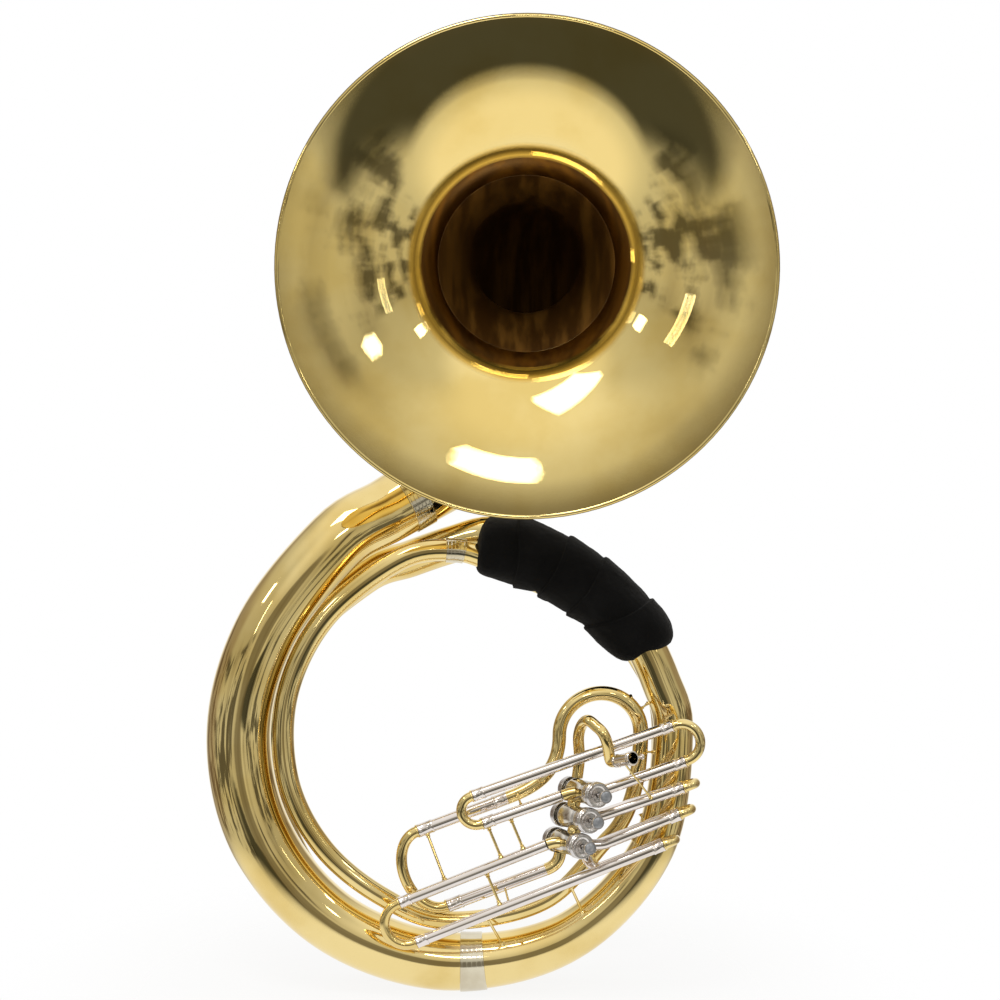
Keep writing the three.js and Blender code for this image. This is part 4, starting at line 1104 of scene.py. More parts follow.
    def build(self) -> None:
        """Builds the branches and their ferrules."""
        branches = (
            ("inner_branch", self.run(self.angles[0], self.inner_joint)),
            ("rear_branch", self.run(self.inner_joint, self.rear_joint)),
            ("shoulder_branch", self.run(self.rear_joint, self.bottom_joint)),
            (
                "large_branch",
                Ways.joined(self.run(self.bottom_joint, self.angles[-1]), self.top(0, self.top_joint, 8)),
            ),
        )
        for name, way in branches:
            shape = Shaper.tube(way, self.wall, self.sides)
            Piece.add(name + "_tube", shape, BRASS, Slot.BRASS, nodes=[name])
        seat = [Station(self.collar_base + UP * h, UP, self.collar_radius) for h in (0, self.collar_seat)]
        shape = Shaper.tube(
            Ways.joined(self.top(self.top_joint, 1, self.top_steps), seat), self.wall, self.sides
        )
        Piece.add("bell_branch_tube", shape, BRASS, Slot.BRASS, nodes=["bell_branch"])
        for name, angle in (
            ("inner_ferrule", self.inner_joint),
            ("rear_ferrule", self.rear_joint),
            ("bottom_ferrule", self.bottom_joint),
        ):
            count = self.ferrule_steps
            turns = [angle + self.half_span * (1 - 2 * i / count) for i in range(count + 1)]
            shape = self.ferrule([self.station(turn) for turn in turns])
            Piece.add(name + "_band", shape, FERRULE, Slot.NICKEL, nodes=[name])
        near, far = self.top_joint - self.top_half, self.top_joint + self.top_half
        shape = self.ferrule(self.top(near, far, self.ferrule_steps))
        Piece.add("top_ferrule_band", shape, FERRULE, Slot.NICKEL, nodes=["top_ferrule"])


@dataclass
class BellSection:
    """The flared bell, its elbow and the tenon in the collar."""

    stem: Vector
    collar_radius: float
    rim_radius: float = 0.330
    depth: float = 0.230
    throat: float = 0.040
    power: float = 0.75
    wall: float = 0.001
    bead: float = 0.0032
    elbow: float = 0.150
    flange_height: float = 0.006
    flange_width: float = 0.003
    tenon: float = 0.038
    sides: int = 128
    flare_steps: int = 90
    elbow_steps: int = 44
    # How far behind the rim the throat's sheet of painted shade starts.
    shade_depth: float = 0.116

    def radius(self, depth: float) -> float:
        """The flare's inside radius at a depth behind the rim."""
        return self.rim_radius * (self.throat / (depth + self.throat)) ** self.power

    @property
    def rim_centre(self) -> Vector:
        """The middle of the rim."""
        return self.stem + UP * self.elbow - DEPTH * (self.elbow + self.depth)

    def flare(self) -> tuple[list[Station], list[Station]]:
        """The inner and outer rings of the flare, from the rim to the elbow."""
        inner, outer = [], []
        for i in range(1, self.flare_steps + 1):
            depth = self.depth * (i / self.flare_steps) ** 2
            slope = (self.radius(depth + self.wall) - self.radius(depth)) / self.wall
            stretch = math.hypot(1, slope)
            inner.append(Station(self.rim_centre + DEPTH * depth, DEPTH, self.radius(depth)))
            back = self.rim_centre + DEPTH * (depth - self.wall * slope / stretch)
            outer.append(Station(back, DEPTH, self.radius(depth) + self.wall / stretch))
        return inner, outer

    def elbow_rings(self) -> tuple[list[Station], list[Station]]:
        """The inner and outer rings of the elbow."""
        inner, outer = [], []
        centre = self.stem - DEPTH * self.elbow
        start = self.radius(self.depth) + self.wall
        for i in range(1, self.elbow_steps + 1):
            turn = math.pi / 2 * i / self.elbow_steps
            spot = centre + UP * (self.elbow * math.cos(turn)) + DEPTH * (self.elbow * math.sin(turn))
            way = DEPTH * math.cos(turn) - UP * math.sin(turn)
            share = (i / self.elbow_steps) ** 0.85
            size = start + (self.collar_radius + self.wall - start) * share
            inner.append(Station(spot, way, size - self.wall))
            outer.append(Station(spot, way, size))
        return inner, outer

    def rim(self) -> list[Station]:
        """The rolled wire edge, from the inside of the mouth round to the back."""
        made = []
        for i in range(15):
            turn = math.pi * (1.35 * (-0.15 + 1.1 * i / 14) - 0.55)
            spot = self.rim_centre + DEPTH * (self.bead * (0.8 + math.sin(turn)))
            made.append(Station(spot, DEPTH, self.rim_radius - self.bead + self.bead * math.cos(turn)))
        return made

    def build(self) -> None:
        """Builds the bell as one skin, with a thin dark sheet of painted shade in its throat."""
        flare_in, flare_out = self.flare()
        elbow_in, elbow_out = self.elbow_rings()
        flange = self.collar_radius + self.flange_width
        tenon = (
            (0.001, flange),
            (self.flange_height - CLEARANCE, flange),
            (self.flange_height - CLEARANCE / 2, self.collar_radius),
            (self.tenon, self.collar_radius),
            (self.tenon, self.collar_radius - self.wall),
        )
        rings = [
            *self.rim(),
            *flare_out,
            *elbow_out,
            *(Station(self.stem - UP * drop, -UP, size) for drop, size in tenon),
            *reversed(elbow_in),
            *reversed(flare_in),
        ]
        shape = Shaper.skin(rings, self.sides, SIDEWAYS, True)
        finish = SpunMetal(
            "bell brass",
            colour=(0.90, 0.71, 0.29),
            deep=(0.82, 0.61, 0.20),
            roughness=0.012,
            spread=0.018,
            lacquer=0.4,
            centre=tuple(self.rim_centre),
        )
        Piece.add("bell_flare", shape, finish, Slot.BELL, "bell_section", ["bell"])
        # A thin dark sheet of painted shade over the deep throat and the elbow.
        deep = [s for s in flare_in if s.point.y - self.rim_centre.y > self.shade_depth]
        shade_sheet = [s.sized(s.radius - SHADE_GAP) for s in [*deep, *elbow_in]]
        backing = [s.sized(s.radius + SHADE_GAP * 0.8) for s in reversed(shade_sheet)]
        shape = Shaper.skin([*shade_sheet, *backing], self.sides, SIDEWAYS, True)
        Piece.add("bell_throat_shade", shape, THROAT_SHADE, Slot.BELL, "bell_section")


@dataclass
class Collar:
    """The collar that the bell turns in, with its thumbscrews."""

    base: Vector
    bore: float = 0.05745
    wall: float = 0.002
    height: float = 0.046
    bead: float = 0.0016
    boss_radius: float = 0.0055
    boss_length: float = 0.009
    head_radius: float = 0.008
    head_length: float = 0.005
    wing_length: float = 0.011
    wing_thickness: float = 0.003
    seat: float = 0.014
    count: int = 3

    def build(self) -> None:
        """Turns the sleeve and sets the bosses and screws round it."""
        outer = self.bore + self.wall
        rings = [(outer, 0)]
        for foot in (0.0, self.height - 5 * self.bead, self.height / 2 - self.bead):
            for i in range(9):
                rings.append((outer + self.bead * math.sin(math.pi * i / 8), foot + self.bead * i / 4))
        rings.sort(key=lambda p: p[1])
        profile = [(self.bore, 0), *rings, (outer, self.height), (self.bore, self.height)]
        shapes = [Shaper.turned(profile, Matrix.Translation(self.base), 96)]
        lift = self.base + UP * ((self.seat + self.height) / 2)
        for i in range(self.count):
            turn = 2 * math.pi * i / self.count + math.pi / 2
            out = Vector((math.cos(turn), math.sin(turn), 0))
            frame = Station(lift + out * (self.bore + self.wall / 2), out).frame(UP)
            shapes.append(self.boss(frame))
            Piece.add(
                f"thumbscrew_{i + 1}",
                self.screw(Station(lift + out * outer, out).frame(UP)),
                SATIN,
                Slot.SATIN,
                nodes=[f"collar_screw_{i + 1}"],
                bevel=0.0004,
            )
        Piece.add("collar_sleeve", Shaper.merged(shapes), NICKEL, Slot.NICKEL, nodes=["bell_collar"])

    def boss(self, frame: Matrix) -> bmesh.types.BMesh:
        """A threaded boss.

        Args:
            frame: Where it stands, with its Z axis outward.

        Returns:
            The mesh.
        """
        r, length = self.boss_radius, self.boss_length
        foot = [(0, 0), (r * 1.5, 0), (r * 1.15, length * 0.2), (r, length * 0.35)]
        top = [(r, length * 0.92), (r * 0.9, length), (0, length)]
        return Shaper.turned(foot + top, frame, 32)

    def screw(self, frame: Matrix) -> bmesh.types.BMesh:
        """A thumbscrew with a milled head and a wing.

        Args:
            frame: Where it stands, with its Z axis outward.

        Returns:
            The mesh.
        """
        foot = self.boss_length + CLEARANCE
        top = foot + self.head_length
        head = Shaper.turned(
            [(0, foot), (self.head_radius, foot), (self.head_radius, top), (0, top)], frame, 24
        )
        wing = bmesh.new()
        size = Matrix.Diagonal((self.wing_thickness, self.head_radius * 2, self.wing_length, 1))
        lift = Matrix.Translation((0, 0, top + self.wing_length / 3))
        bmesh.ops.create_cube(wing, size=1, matrix=frame @ lift @ size)
        return Shaper.merged([head, wing])


@dataclass
class ValveRow:
    """The three piston valves."""

    row_shares: Triple = (0.665, -0.393, -0.318)
    pitch: float = 0.038
    tilt: float = math.radians(16.5)
    yaw: float = math.radians(25)
    rise: float = math.radians(6.5)
    radius: float = 0.016
    length: float = 0.088
    casing_wall: float = 0.0012
    casing_band: float = 0.0007
    cap_wall: float = 0.0016
    cap_plate: float = 0.003
    cap_skirt: float = 0.014
    bottom_skirt: float = 0.008
    flute: float = 0.00018
    stroke: float = 0.017
    stem_radius: float = 0.0024
    stem_hole: float = 0.0042
    button_radius: float = 0.0092
    button_height: float = 0.006
    piston_length: float = 0.062
    piston_gap: float = 0.0016
    spring_radius: float = 0.010
    spring_wire: float = 0.0007
    spring_seat: float = 0.0008
    spring_turns: int = 7
    spring_steps: int = 20
    knuckle_radius: float = 0.008
    knuckle_wall: float = 0.0009
    knuckle_depth: float = -0.0589
    front_depth: float = -0.0819
    bodies: tuple[str, ...] = ("first_piston", "second_piston", "third_piston")

    @property
    def axis(self) -> Vector:
        """The direction out of the top caps."""
        flat = math.cos(self.rise)
        return Vector((math.sin(self.yaw) * flat, -math.cos(self.yaw) * flat, math.sin(self.rise)))

    def cap(self, i: int) -> Vector:
        """The middle of a valve's top cap."""
        row = Vector((math.sin(self.tilt), 0, math.cos(self.tilt)))
        return RING_CENTRE + place(self.row_shares) + row * ((1 - i) * self.pitch)

    def at_depth(self, i: int, depth: float) -> Vector:
        """The point of a valve's axis at a depth."""
        cap = self.cap(i)
        return cap + self.axis * ((depth - cap.y) / self.axis.y)

    def outside(self, i: int, way: Sequence[Station], share: float = 0.8) -> list[Station]:
        """The part of a way that lies outside a casing, or just inside its wall."""
        start = self.cap(i)
        return [s for s in way if (s.point - start).cross(self.axis).length > self.radius * share]

    def build(self) -> None:
        """Builds each valve and the knuckles between the casings."""
        for i in range(3):
            self.build_valve(i)
        for number, i in enumerate((0, 2)):
            depth = self.front_depth if i else self.knuckle_depth
            start, end = self.at_depth(1, depth), self.at_depth(i, depth)
            direction = (end - start).normalized()
            rings = [
                Station(start.lerp(end, share), direction, self.knuckle_radius * size)
                for share, size in (
                    (0.0, 1), (0.38, 1), (0.42, 1.16), (0.5, 1.2), (0.58, 1.16), (0.62, 1), (1.0, 1)
                )
            ]
            Piece.add(f"knuckle_{number + 1}", Shaper.tube(rings, self.knuckle_wall, 32), BRASS, Slot.BRASS)

    def build_valve(self, i: int) -> None:
        """Builds one valve.

        Args:
            i: Its place in the row, from 0.
        """
        frame = Station(self.cap(i), self.axis).frame(UP)
        number = i + 1
        top = -self.cap_plate - CLEARANCE
        foot = top - self.length
        r = self.radius
        bore, band = r - self.casing_wall, r + self.casing_band
        lower = [
            (bore, foot),
            (r, foot),
            (r, foot + 0.018),
            (band, foot + 0.019),
            (band, foot + 0.022),
            (r, foot + 0.023),
        ]
        upper = [
            (r, top - 0.020),
            (band, top - 0.019),
            (band, top - 0.016),
            (r, top - 0.015),
            (r, top),
            (bore, top),
        ]
        shape = Shaper.turned(lower + upper, frame, 56)
        Piece.add(f"valve_casing_{number}", shape, CASING, Slot.SATIN, nodes=[f"casing_{number}"])
        self.build_caps(number, frame, foot)
        self.build_moving(number, frame, top)

    def build_caps(self, number: int, frame: Matrix, foot: float) -> None:
        """Builds a valve's two caps with their milled bands.

        Args:
            number: The valve's number.
            frame: Where it stands.
            foot: The casing's foot.
        """
        bore = self.radius + CLEARANCE
        outer = bore + self.cap_wall
        upper = [
            (bore, -self.cap_skirt),
            (outer - 0.0006, -self.cap_skirt),
            (outer, -self.cap_skirt + 0.001),
            (outer, -self.cap_plate - 0.003),
            (outer - 0.0008, -self.cap_plate - 0.002),
            (outer - 0.0008, -self.cap_plate),
            (outer, -self.cap_plate + 0.0008),
            (outer - 0.0003, -0.0012),
            (outer - 0.0014, 0),
            (self.radius * 0.80, 0),
            (self.radius * 0.72, -0.0008),
            (self.radius * 0.62, -self.cap_plate * 0.75),
            (self.stem_hole * 1.9, -self.cap_plate * 0.75),
            (self.stem_hole * 1.7, -0.0006),
            (self.stem_hole, -0.0006),
            (self.stem_hole, -self.cap_plate),
            (bore, -self.cap_plate),
        ]
        low, high = -self.cap_skirt + 0.001, -self.cap_plate - 0.003
        cap = self.milled(Shaper.turned(upper, frame, 96), frame, outer, low, high)
        Piece.add(f"valve_cap_{number}", cap, SATIN, Slot.SATIN, nodes=[f"top_cap_{number}"])
        plate = foot - CLEARANCE
        outer = bore + self.cap_wall * 0.8
        lower = [
            (self.stem_hole, plate),
            (bore, plate),
            (bore, foot + self.bottom_skirt),
            (outer, foot + self.bottom_skirt),
            (outer, plate - self.cap_plate / 2),
            (outer - 0.0012, plate - self.cap_plate),
            (outer * 0.6, plate - self.cap_plate),
            (outer * 0.5, plate - self.cap_plate * 0.5),
            (self.stem_hole, plate - self.cap_plate * 0.5),
        ]
        cap = self.milled(Shaper.turned(lower, frame, 96), frame, outer, plate, foot + self.bottom_skirt)
        Piece.add(f"valve_foot_{number}", cap, SATIN, Slot.SATIN, nodes=[f"bottom_cap_{number}"])

    def milled(
        self, shape: bmesh.types.BMesh, frame: Matrix, outer: float, low: float, high: float
    ) -> bmesh.types.BMesh:
        """Cuts fine grip flutes into a cap's band.

        Args:
            shape: The cap's mesh.
            frame: Where it stands.
            outer: The band's radius.
            low: The band's lower height.
            high: The band's upper height.

        Returns:
            The same mesh.
        """
        back = frame.inverted()
        middle = (low + high) / 2
        band = []
        for face in shape.faces:
            spot = back @ face.calc_center_median()
            if abs(spot.z - middle) < (high - low) * 0.49 and spot.xy.length > outer * 0.97:
                band.append(face)
        bmesh.ops.inset_individual(shape, faces=band, thickness=self.flute, depth=self.flute)
        return shape

    def build_moving(self, number: int, frame: Matrix, top: float) -> None:
        """Builds a valve's piston, button and spring.

        Args:
            number: The valve's number.
            frame: Where it stands.
            top: The casing's top.
        """
        body = self.bodies[number - 1]
        r = self.radius - self.piston_gap
        foot = top - self.piston_length
        base = self.stroke + 2 * CLEARANCE
        s = self.stem_radius
        piston = [
            (0, foot + 0.004),
            (r - 0.001, foot + 0.004),
            (r - 0.001, foot),
            (r, foot),
            (r, top - 0.001),
            (r - 0.001, top),
            (s * 1.6, top),
            (s, top + 0.002),
            (s, base + 0.003),
            (0, base + 0.003),
        ]
        shape = Shaper.turned(piston, frame, 40)
        Piece.add(f"piston_and_stem_{number}", shape, SATIN, Slot.SATIN, body, [f"piston_{number}"])
        b, h = self.button_radius, self.button_height
        button = [
            (0, base),
            (b * 0.55, base),
            (b * 0.72, base + 0.0006),
            (b * 0.95, base + h * 0.32),
            (b, base + h * 0.42),
            (b, base + h * 0.9),
            (b * 0.96, base + h),
            (b * 0.86, base + h),
            (b * 0.84, base + h * 0.9),
            (0, base + h * 0.9),
        ]
        Piece.add(f"button_cup_{number}", Shaper.turned(button, frame, 48), SATIN, Slot.SATIN, body)
        dome = [(0, base + h * 0.85), (b * 0.835, base + h * 0.85)]
        for i in range(9):
            turn = math.pi / 2 * i / 8
            dome.append((b * 0.83 * math.cos(turn), base + h * (0.9 + 0.32 * math.sin(turn))))
        shape = Shaper.turned(dome, frame, 48)
        Piece.add(f"button_pearl_{number}", shape, PEARL, Slot.PEARL, body, [f"finger_button_{number}"])
        self.build_spring(number, frame, top - self.length, foot)

    def build_spring(self, number: int, frame: Matrix, floor: float, ceiling: float) -> None:
        """Coils a valve's spring from the casing's foot up to the piston's foot.

        Args:
            number: The valve's number.
            frame: Where it stands.
            floor: The casing's foot.
            ceiling: The piston's foot.
        """
        low = floor + CLEARANCE + self.spring_seat
        high = ceiling - CLEARANCE - self.spring_seat
        count = self.spring_turns * self.spring_steps
        rings = []
        for k in range(count + 1):
            turn = 2 * math.pi * k / self.spring_steps
            out = Vector((math.cos(turn), math.sin(turn), 0)) * self.spring_radius
            way = Vector((-math.sin(turn), math.cos(turn), 0))
            spot = out + UP * (low + (high - low) * (k / count))
            rings.append(Station(frame @ spot, frame.to_3x3() @ way, self.spring_wire))
        shape = Shaper.skin(rings, 8, self.axis, False)
        spring = Piece.add(
            f"return_spring_{number}", shape, STEEL, Slot.SPRING, nodes=[f"valve_spring_{number}"]
        )
        keep = 1 - self.stroke / (high - low)
        tuple(frame @ (UP * low))
        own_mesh(spring)


@dataclass
class SlideLine:
    """The straight lines that one group of slide tubes follows."""

    origin: Vector
    tilt: float
    fall: float = 0.2

    @property
    def along(self) -> Vector:
        """The direction up the slide."""
        return Vector((math.cos(self.tilt), 0, math.sin(self.tilt)))

    @property
    def across(self) -> Vector:
        """The direction square to the slide, in the plane of the ring."""
        return Vector((-math.sin(self.tilt), 0, math.cos(self.tilt)))

    def at(self, run: float, rise: float, depth: float | None = None) -> Vector:
        """A point of the slide.

        Args:
            run: How far along it lies.
            rise: How far across it lies.
            depth: Its depth, or that of the origin.

        Returns:
            The point.
        """
        spot = self.origin + self.along * run + self.across * rise
        if depth is not None:
            spot += (DEPTH - UP * self.fall) * (depth - spot.y)
        return spot

    def beside(self, point: Vector, rise: float) -> Vector:
        """The point of a tube on this slide that lies nearest to another point."""
        return self.at((point - self.origin).dot(self.along), rise)


@dataclass
class SlideSet:
    """The outer slide tubes, their crooks and their braces."""

    valves: ValveRow
    winding: Winding
    radius: float = 0.0078
    wall: float = 0.0009
    main_radius: float = 0.0087
    first_tilt: float = math.radians(19.8)
    second_tilt: float = math.radians(19.4)
    third_tilt: float = math.radians(22.2)
    main_tilt: float = math.radians(20.9)
    front: float = -0.0819
    rear: float = -0.0519
    leg: float = 0.074
    short_leg: float = 0.054
    main_leg: float = 0.080
    bead: float = 0.003
    ferrule_wall: float = 0.0008
    sleeve_wall: float = 0.0007
    lip: float = 0.0003
    tuck: float = 0.0008
    mouth: float = 0.017
    main_mouth: float = 0.022
    brace: float = 0.0020
    foot: float = 0.0042
    port_drop: float = 0.005
    port_bend: float = 0.044
    elbow_run: float = 0.034
    elbow_pull: float = 0.014
    elbow_dip: float = 0.45
    overlap: float = 0.002
    first_lift: float = 0.007
    first_reach: float = 0.152
    first_top: float = 0.143
    first_left_span: float = 0.042
    first_right_span: float = 0.054
    second_drop: float = 0.0086
    second_top: float = 0.156
    third_lift: float = 0.0114
    third_reach: float = 0.2575
    third_left_span: float = 0.062
    third_right_span: float = 0.0323
    third_upper_top: float = 0.153
    third_lower_top: float = 0.116
    third_return: float = 0.026
    main_offset: Triple = (-0.188, 0.064, -0.1023)
    main_span: float = 0.116
    main_upper_run: float = 0.134
    main_lower_run: float = 0.150
    main_outlet: float = 0.008
    main_reach_share: float = 0.68
    sides: int = 36
    fitting: float = 0.0015
    fitting_foot: float = 0.0032
    fitting_shares: tuple[Pair, ...] = (
        ((0.418, -0.240, -0.108), (0.433, -0.233, -0.177)),
        ((0.267, -0.193, -0.682), (0.288, -0.267, -0.743)),
        ((0.325, -0.207, -0.231), (0.346, -0.260, -0.280)),
        ((0.903, -0.233, -0.325), (0.914, -0.233, -0.358)),
        ((0.870, -0.233, -0.445), (0.882, -0.233, -0.478)),
        ((0.667, -0.247, -0.508), (0.694, -0.260, -0.548)),
        ((0.810, -0.400, -0.033), (0.947, -0.300, -0.232)),
        ((0.856, -0.100, 0.209), (0.910, -0.047, 0.136)),
        ((0.910, -0.047, 0.136), (0.944, -0.027, 0.160)),
        ((0.928, -0.100, -0.059), (0.972, -0.067, -0.067)),
    )
    key_shares: Pair = ((-0.191, -0.207, -0.799), (-0.111, -0.207, -0.847))

    def __post_init__(self) -> None:
        """Works out the lines that the slides follow."""
        self.first = self.valve_line(0, self.first_lift, self.first_tilt)
        self.second = self.valve_line(1, -self.second_drop, self.second_tilt)
        self.third = self.valve_line(2, self.third_lift, self.third_tilt)
        self.main = SlideLine(self.valves.cap(2) + Vector(self.main_offset), self.main_tilt)

    def valve_line(self, i: int, lift: float, tilt: float) -> SlideLine:
        """The line of a slide that passes a valve, so far above its middle."""
        return SlideLine(self.valves.at_depth(i, self.front) + UP * lift, tilt)

    def outer(
        self, name: str, way: Sequence[Station], radius: float = 0.0, rings: Sequence[int] = (1,)
    ) -> None:
        """Builds an outer slide tube with a sleeve where its crook goes in.

        Args:
            name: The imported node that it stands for.
            way: Its way.
            radius: Its radius, or zero for the usual one.
            rings: Which ends have a sleeve: 0 for the first and 1 for the last.
        """
        size = radius or self.radius
        stations = Ways.sized(way, size)
        shapes = [Shaper.tube(stations, self.wall, self.sides, DEPTH, self.lip)]
        for end in rings:
            tip = stations[-1] if end else stations[0]
            out = tip.direction.normalized() * (1 if end else -1)
            shapes.append(self.sleeve(tip.point, -out, size))
        Piece.add(name + "_pipe", Shaper.merged(shapes), NICKEL, Slot.NICKEL, nodes=[name])

    def sleeve(self, start: Vector, inward: Vector, radius: float) -> bmesh.types.BMesh:
        """A beaded sleeve over the end of a tube.

        Args:
            start: The tube's end.
            inward: The direction back along the tube.
            radius: The tube's radius.

        Returns:
            The mesh.
        """
        length = self.mouth if radius == self.radius else self.main_mouth
        steps = [(0, 0.5), (0.0003, 1.3), (0.0014, 1.4), (0.0024, 1.3), (0.003, 0.9), (length - 0.0035, 0.9)]
        steps += [(length - 0.003, 1.3), (length - 0.0016, 1.6), (length - 0.0004, 1.3), (length, 0.2)]
        rings = [
            Station(start + inward * run, inward, radius + self.sleeve_wall * size) for run, size in steps
        ]
        inner = [Station(start + inward * run, inward, radius - 0.0001) for run in (length, 0)]
        return Shaper.skin([*rings, *inner], self.sides, DEPTH, True)

    def crook(
        self,
        name: str,
        ends: tuple[Vector, Vector],
        out: Vector,
        square: Vector,
        leg: float = 0.0,
        radius: float = 0.0,
        reach: float = 1.0,
    ) -> None:
        """Builds a slide crook: two legs, a bead on each and the bow.

        Args:
            name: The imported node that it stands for, which ends in crook. Its body ends in slide.
            ends: The mouths of the two outer tubes.
            out: The direction in which it pulls out.
            square: The direction square to its plane.
            leg: The legs' length inside them, or zero for the usual one.
            radius: The outer tubes' radius, or zero for the usual one.
            reach: How far the bow bulges, as a share of half a circle's bulge.
        """
        radius, leg = radius or self.radius, leg or self.leg
        away = out.normalized()
        back = -away
        slim = radius - self.wall - CLEARANCE
        bow_size = radius - self.wall * 0.8
        start, end = ends
        bow = Ways.bow(start + away * self.bead, end + away * self.bead, away, 30, reach)
        collar = radius + self.ferrule_wall
        profile = [(0.0003, slim), (0.0004, collar * 0.97), (0.0010, collar)]
        profile += [(0.0022, collar), (0.0028, collar * 0.97), (self.bead, bow_size)]
        rings = [Station(start - away * leg, away, slim)]
        rings += [Station(start + away * run, away, size) for run, size in profile]
        rings += [s.sized(bow_size) for s in bow[1:-1]]
        rings += [Station(end + away * run, back, size) for run, size in reversed(profile)]
        rings.append(Station(end - away * leg, back, slim))
        inside = [Station(start - away * leg, away), *bow, Station(end - away * leg, back)]
        rings += [s.sized(slim - self.wall) for s in reversed(inside)]
        shape = Shaper.skin(rings, self.sides, square, True)
        Piece.add(name + "_bow", shape, BRASS, Slot.BRASS, name.replace("crook", "slide"), [name])

    def post(self, name: str, start: Vector, start_radius: float, end: Vector, end_radius: float) -> None:
        """Builds a brace post between two tubes.

        Args:
            name: The post's name.
            start: A point on the first tube's middle line.
            start_radius: The first tube's radius.
            end: A point on the second tube's middle line.
            end_radius: The second tube's radius.
        """
        way = (end - start).normalized()
        first, last = start + way * (start_radius - self.tuck), end - way * (end_radius - self.tuck)
        Piece.add(name, Shaper.post(first, last, self.brace, self.foot), BRASS, Slot.BRASS)

    def build(self) -> None:
        """Builds every slide."""
        self.build_first()
        self.build_second()
        self.build_third()
        self.build_main()
        self.build_braces()

    def elbow(self, line: SlideLine, i: int) -> list[Station]:
        """An elbow that leaves a slide's line and dips into a casing.

        Args:
            line: The slide's line.
            i: The valve's place in the row, from 0.

        Returns:
            The elbow's stations.
        """
        aim = (line.along - UP * self.elbow_dip).normalized()
        port = self.valves.at_depth(i, self.front)
        way = Ways.bend(
            line.at(-self.elbow_run, 0), line.along, self.elbow_pull, port, aim, self.elbow_pull, 32
        )
        return self.valves.outside(i, way)

    def gold(self, name: str, way: Sequence[Station], radius: float = 0.0) -> None:
        """Builds a plain brass length of tube, a little wider than the one it joins."""
        size = (radius or self.radius) + 0.0001
        shape = Shaper.tube(Ways.sized(way, size), self.wall, self.sides, DEPTH, self.lip)
        Piece.add(name, shape, BRASS, Slot.BRASS)

    def build_first(self) -> None:
        """The first valve's slide: a long upper tube with a crook at either end."""
        line = self.first
        top, low = self.first_left_span, self.first_left_span - self.first_right_span
        left, right = -self.first_reach, self.first_top
        knee = line.at(-self.elbow_run - self.overlap, 0)
        self.outer("first_upper_tube", Ways.line(line.at(left, top), line.at(right, top), 0, 4), rings=(0, 1))
        self.outer("first_lower_tube", Ways.line(line.at(left, 0), knee, 0, 4), rings=(0,))
        self.gold("first_elbow", self.elbow(line, 0))
        back = self.valves.outside(0, Ways.line(line.at(0, low), line.at(right, low), 0, 60))
        self.outer("first_return_tube", back)
        self.crook("first_left_crook", (line.at(left, top), line.at(left, 0)), -line.along, DEPTH)
        self.crook("first_right_crook", (line.at(right, top), line.at(right, low)), line.along, DEPTH)

    def port_way(self, i: int, line: SlideLine, rise: float, depth: float, end: float) -> list[Station]:
        """A tube that leaves a casing below its middle and bends onto a line.

        Args:
            i: The valve's place in the row, from 0.
            line: The slide's line.
            rise: How far across the line the tube lies.
            depth: The tube's depth.
            end: How far along the line it ends.

        Returns:
            The tube's stations.
        """
        root = self.valves.at_depth(i, depth) - UP * self.port_drop
        knee = line.at(self.port_bend, rise, depth)
        bend = Ways.bend(root, line.along, self.radius * 2.5, knee, line.along, self.radius * 2, 30)
        return Ways.joined(self.valves.outside(i, bend), Ways.line(knee, line.at(end, rise, depth), 0, 3))

    def build_second(self) -> None:
        """The second valve's slide: two tubes, one behind the other."""
        line = self.second
        for name, depth in (("second_front_tube", self.front), ("second_rear_tube", self.rear)):
            self.outer(name, self.port_way(1, line, 0, depth, self.second_top))
        ends = (line.at(self.second_top, 0), line.at(self.second_top, 0, self.rear))
        self.crook("second_crook", ends, line.along, line.across)

    def build_third(self) -> None:
        """The third valve's slide: a long pair, a return and two crooks on the right."""
        line = self.third
        low, middle = -self.third_left_span, self.third_right_span - self.third_left_span
        left = (line.at(-self.third_reach, 0), line.at(-self.third_reach, low))
        knee = line.at(-self.elbow_run - self.overlap, 0)
        self.outer("third_upper_tube", Ways.line(left[0], knee, 0, 4), rings=(0,))
        self.gold("third_elbow", self.elbow(line, 2))
        right = line.at(self.third_lower_top, low)
        self.outer("third_lower_tube", Ways.line(left[1], right, 0, 6), rings=(0, 1))
        front = self.port_way(2, line, middle, self.front, self.third_upper_top)
        self.outer("third_return_front_tube", front)
        turn = line.at(self.third_return, low, self.rear), line.at(self.third_return, middle, self.rear)
        way = Ways.joined(
            Ways.line(line.at(self.third_lower_top, low, self.rear), turn[0], 0, 3),
            Ways.bow(turn[0], turn[1], -line.along, 24),
            Ways.line(turn[1], line.at(self.third_upper_top, middle, self.rear), 0, 3),
        )
        self.outer("third_return_rear_tube", way, rings=(0, 1))
        self.crook("third_left_crook", left, -line.along, DEPTH)
        for name, run, rise, leg in (
            ("third_upper_crook", self.third_upper_top, middle, self.leg),
            ("third_lower_crook", self.third_lower_top, low, self.short_leg),
        ):
            ends = (line.at(run, rise), line.at(run, rise, self.rear))
            self.crook(name, ends, line.along, line.across, leg)

    def build_main(self) -> None:
        """The main slide with the largest crook."""
        line, size = self.main, self.main_radius
        outlet = self.valves.at_depth(2, line.origin.y) - UP * self.main_outlet
        end = line.at(self.main_lower_run, 0)
        self.outer("main_lower_tube", Ways.line(line.at(0, 0), end, 0, 3), size, (0,))
        foot = end - line.along * self.overlap
        bend = Ways.bend(foot, line.along, size * 2, outlet, UP, size * 2, 40)
        self.gold("main_elbow", self.valves.outside(2, bend, 1.0), size)
        upper = Ways.line(line.at(0, self.main_span), line.at(self.main_upper_run, self.main_span), 0, 4)
        self.outer("main_upper_tube", upper, size, (0, 1))
        ends = (line.at(0, self.main_span), line.at(0, 0))
        self.crook("main_crook", ends, -line.along, DEPTH, self.main_leg, size, self.main_reach_share)

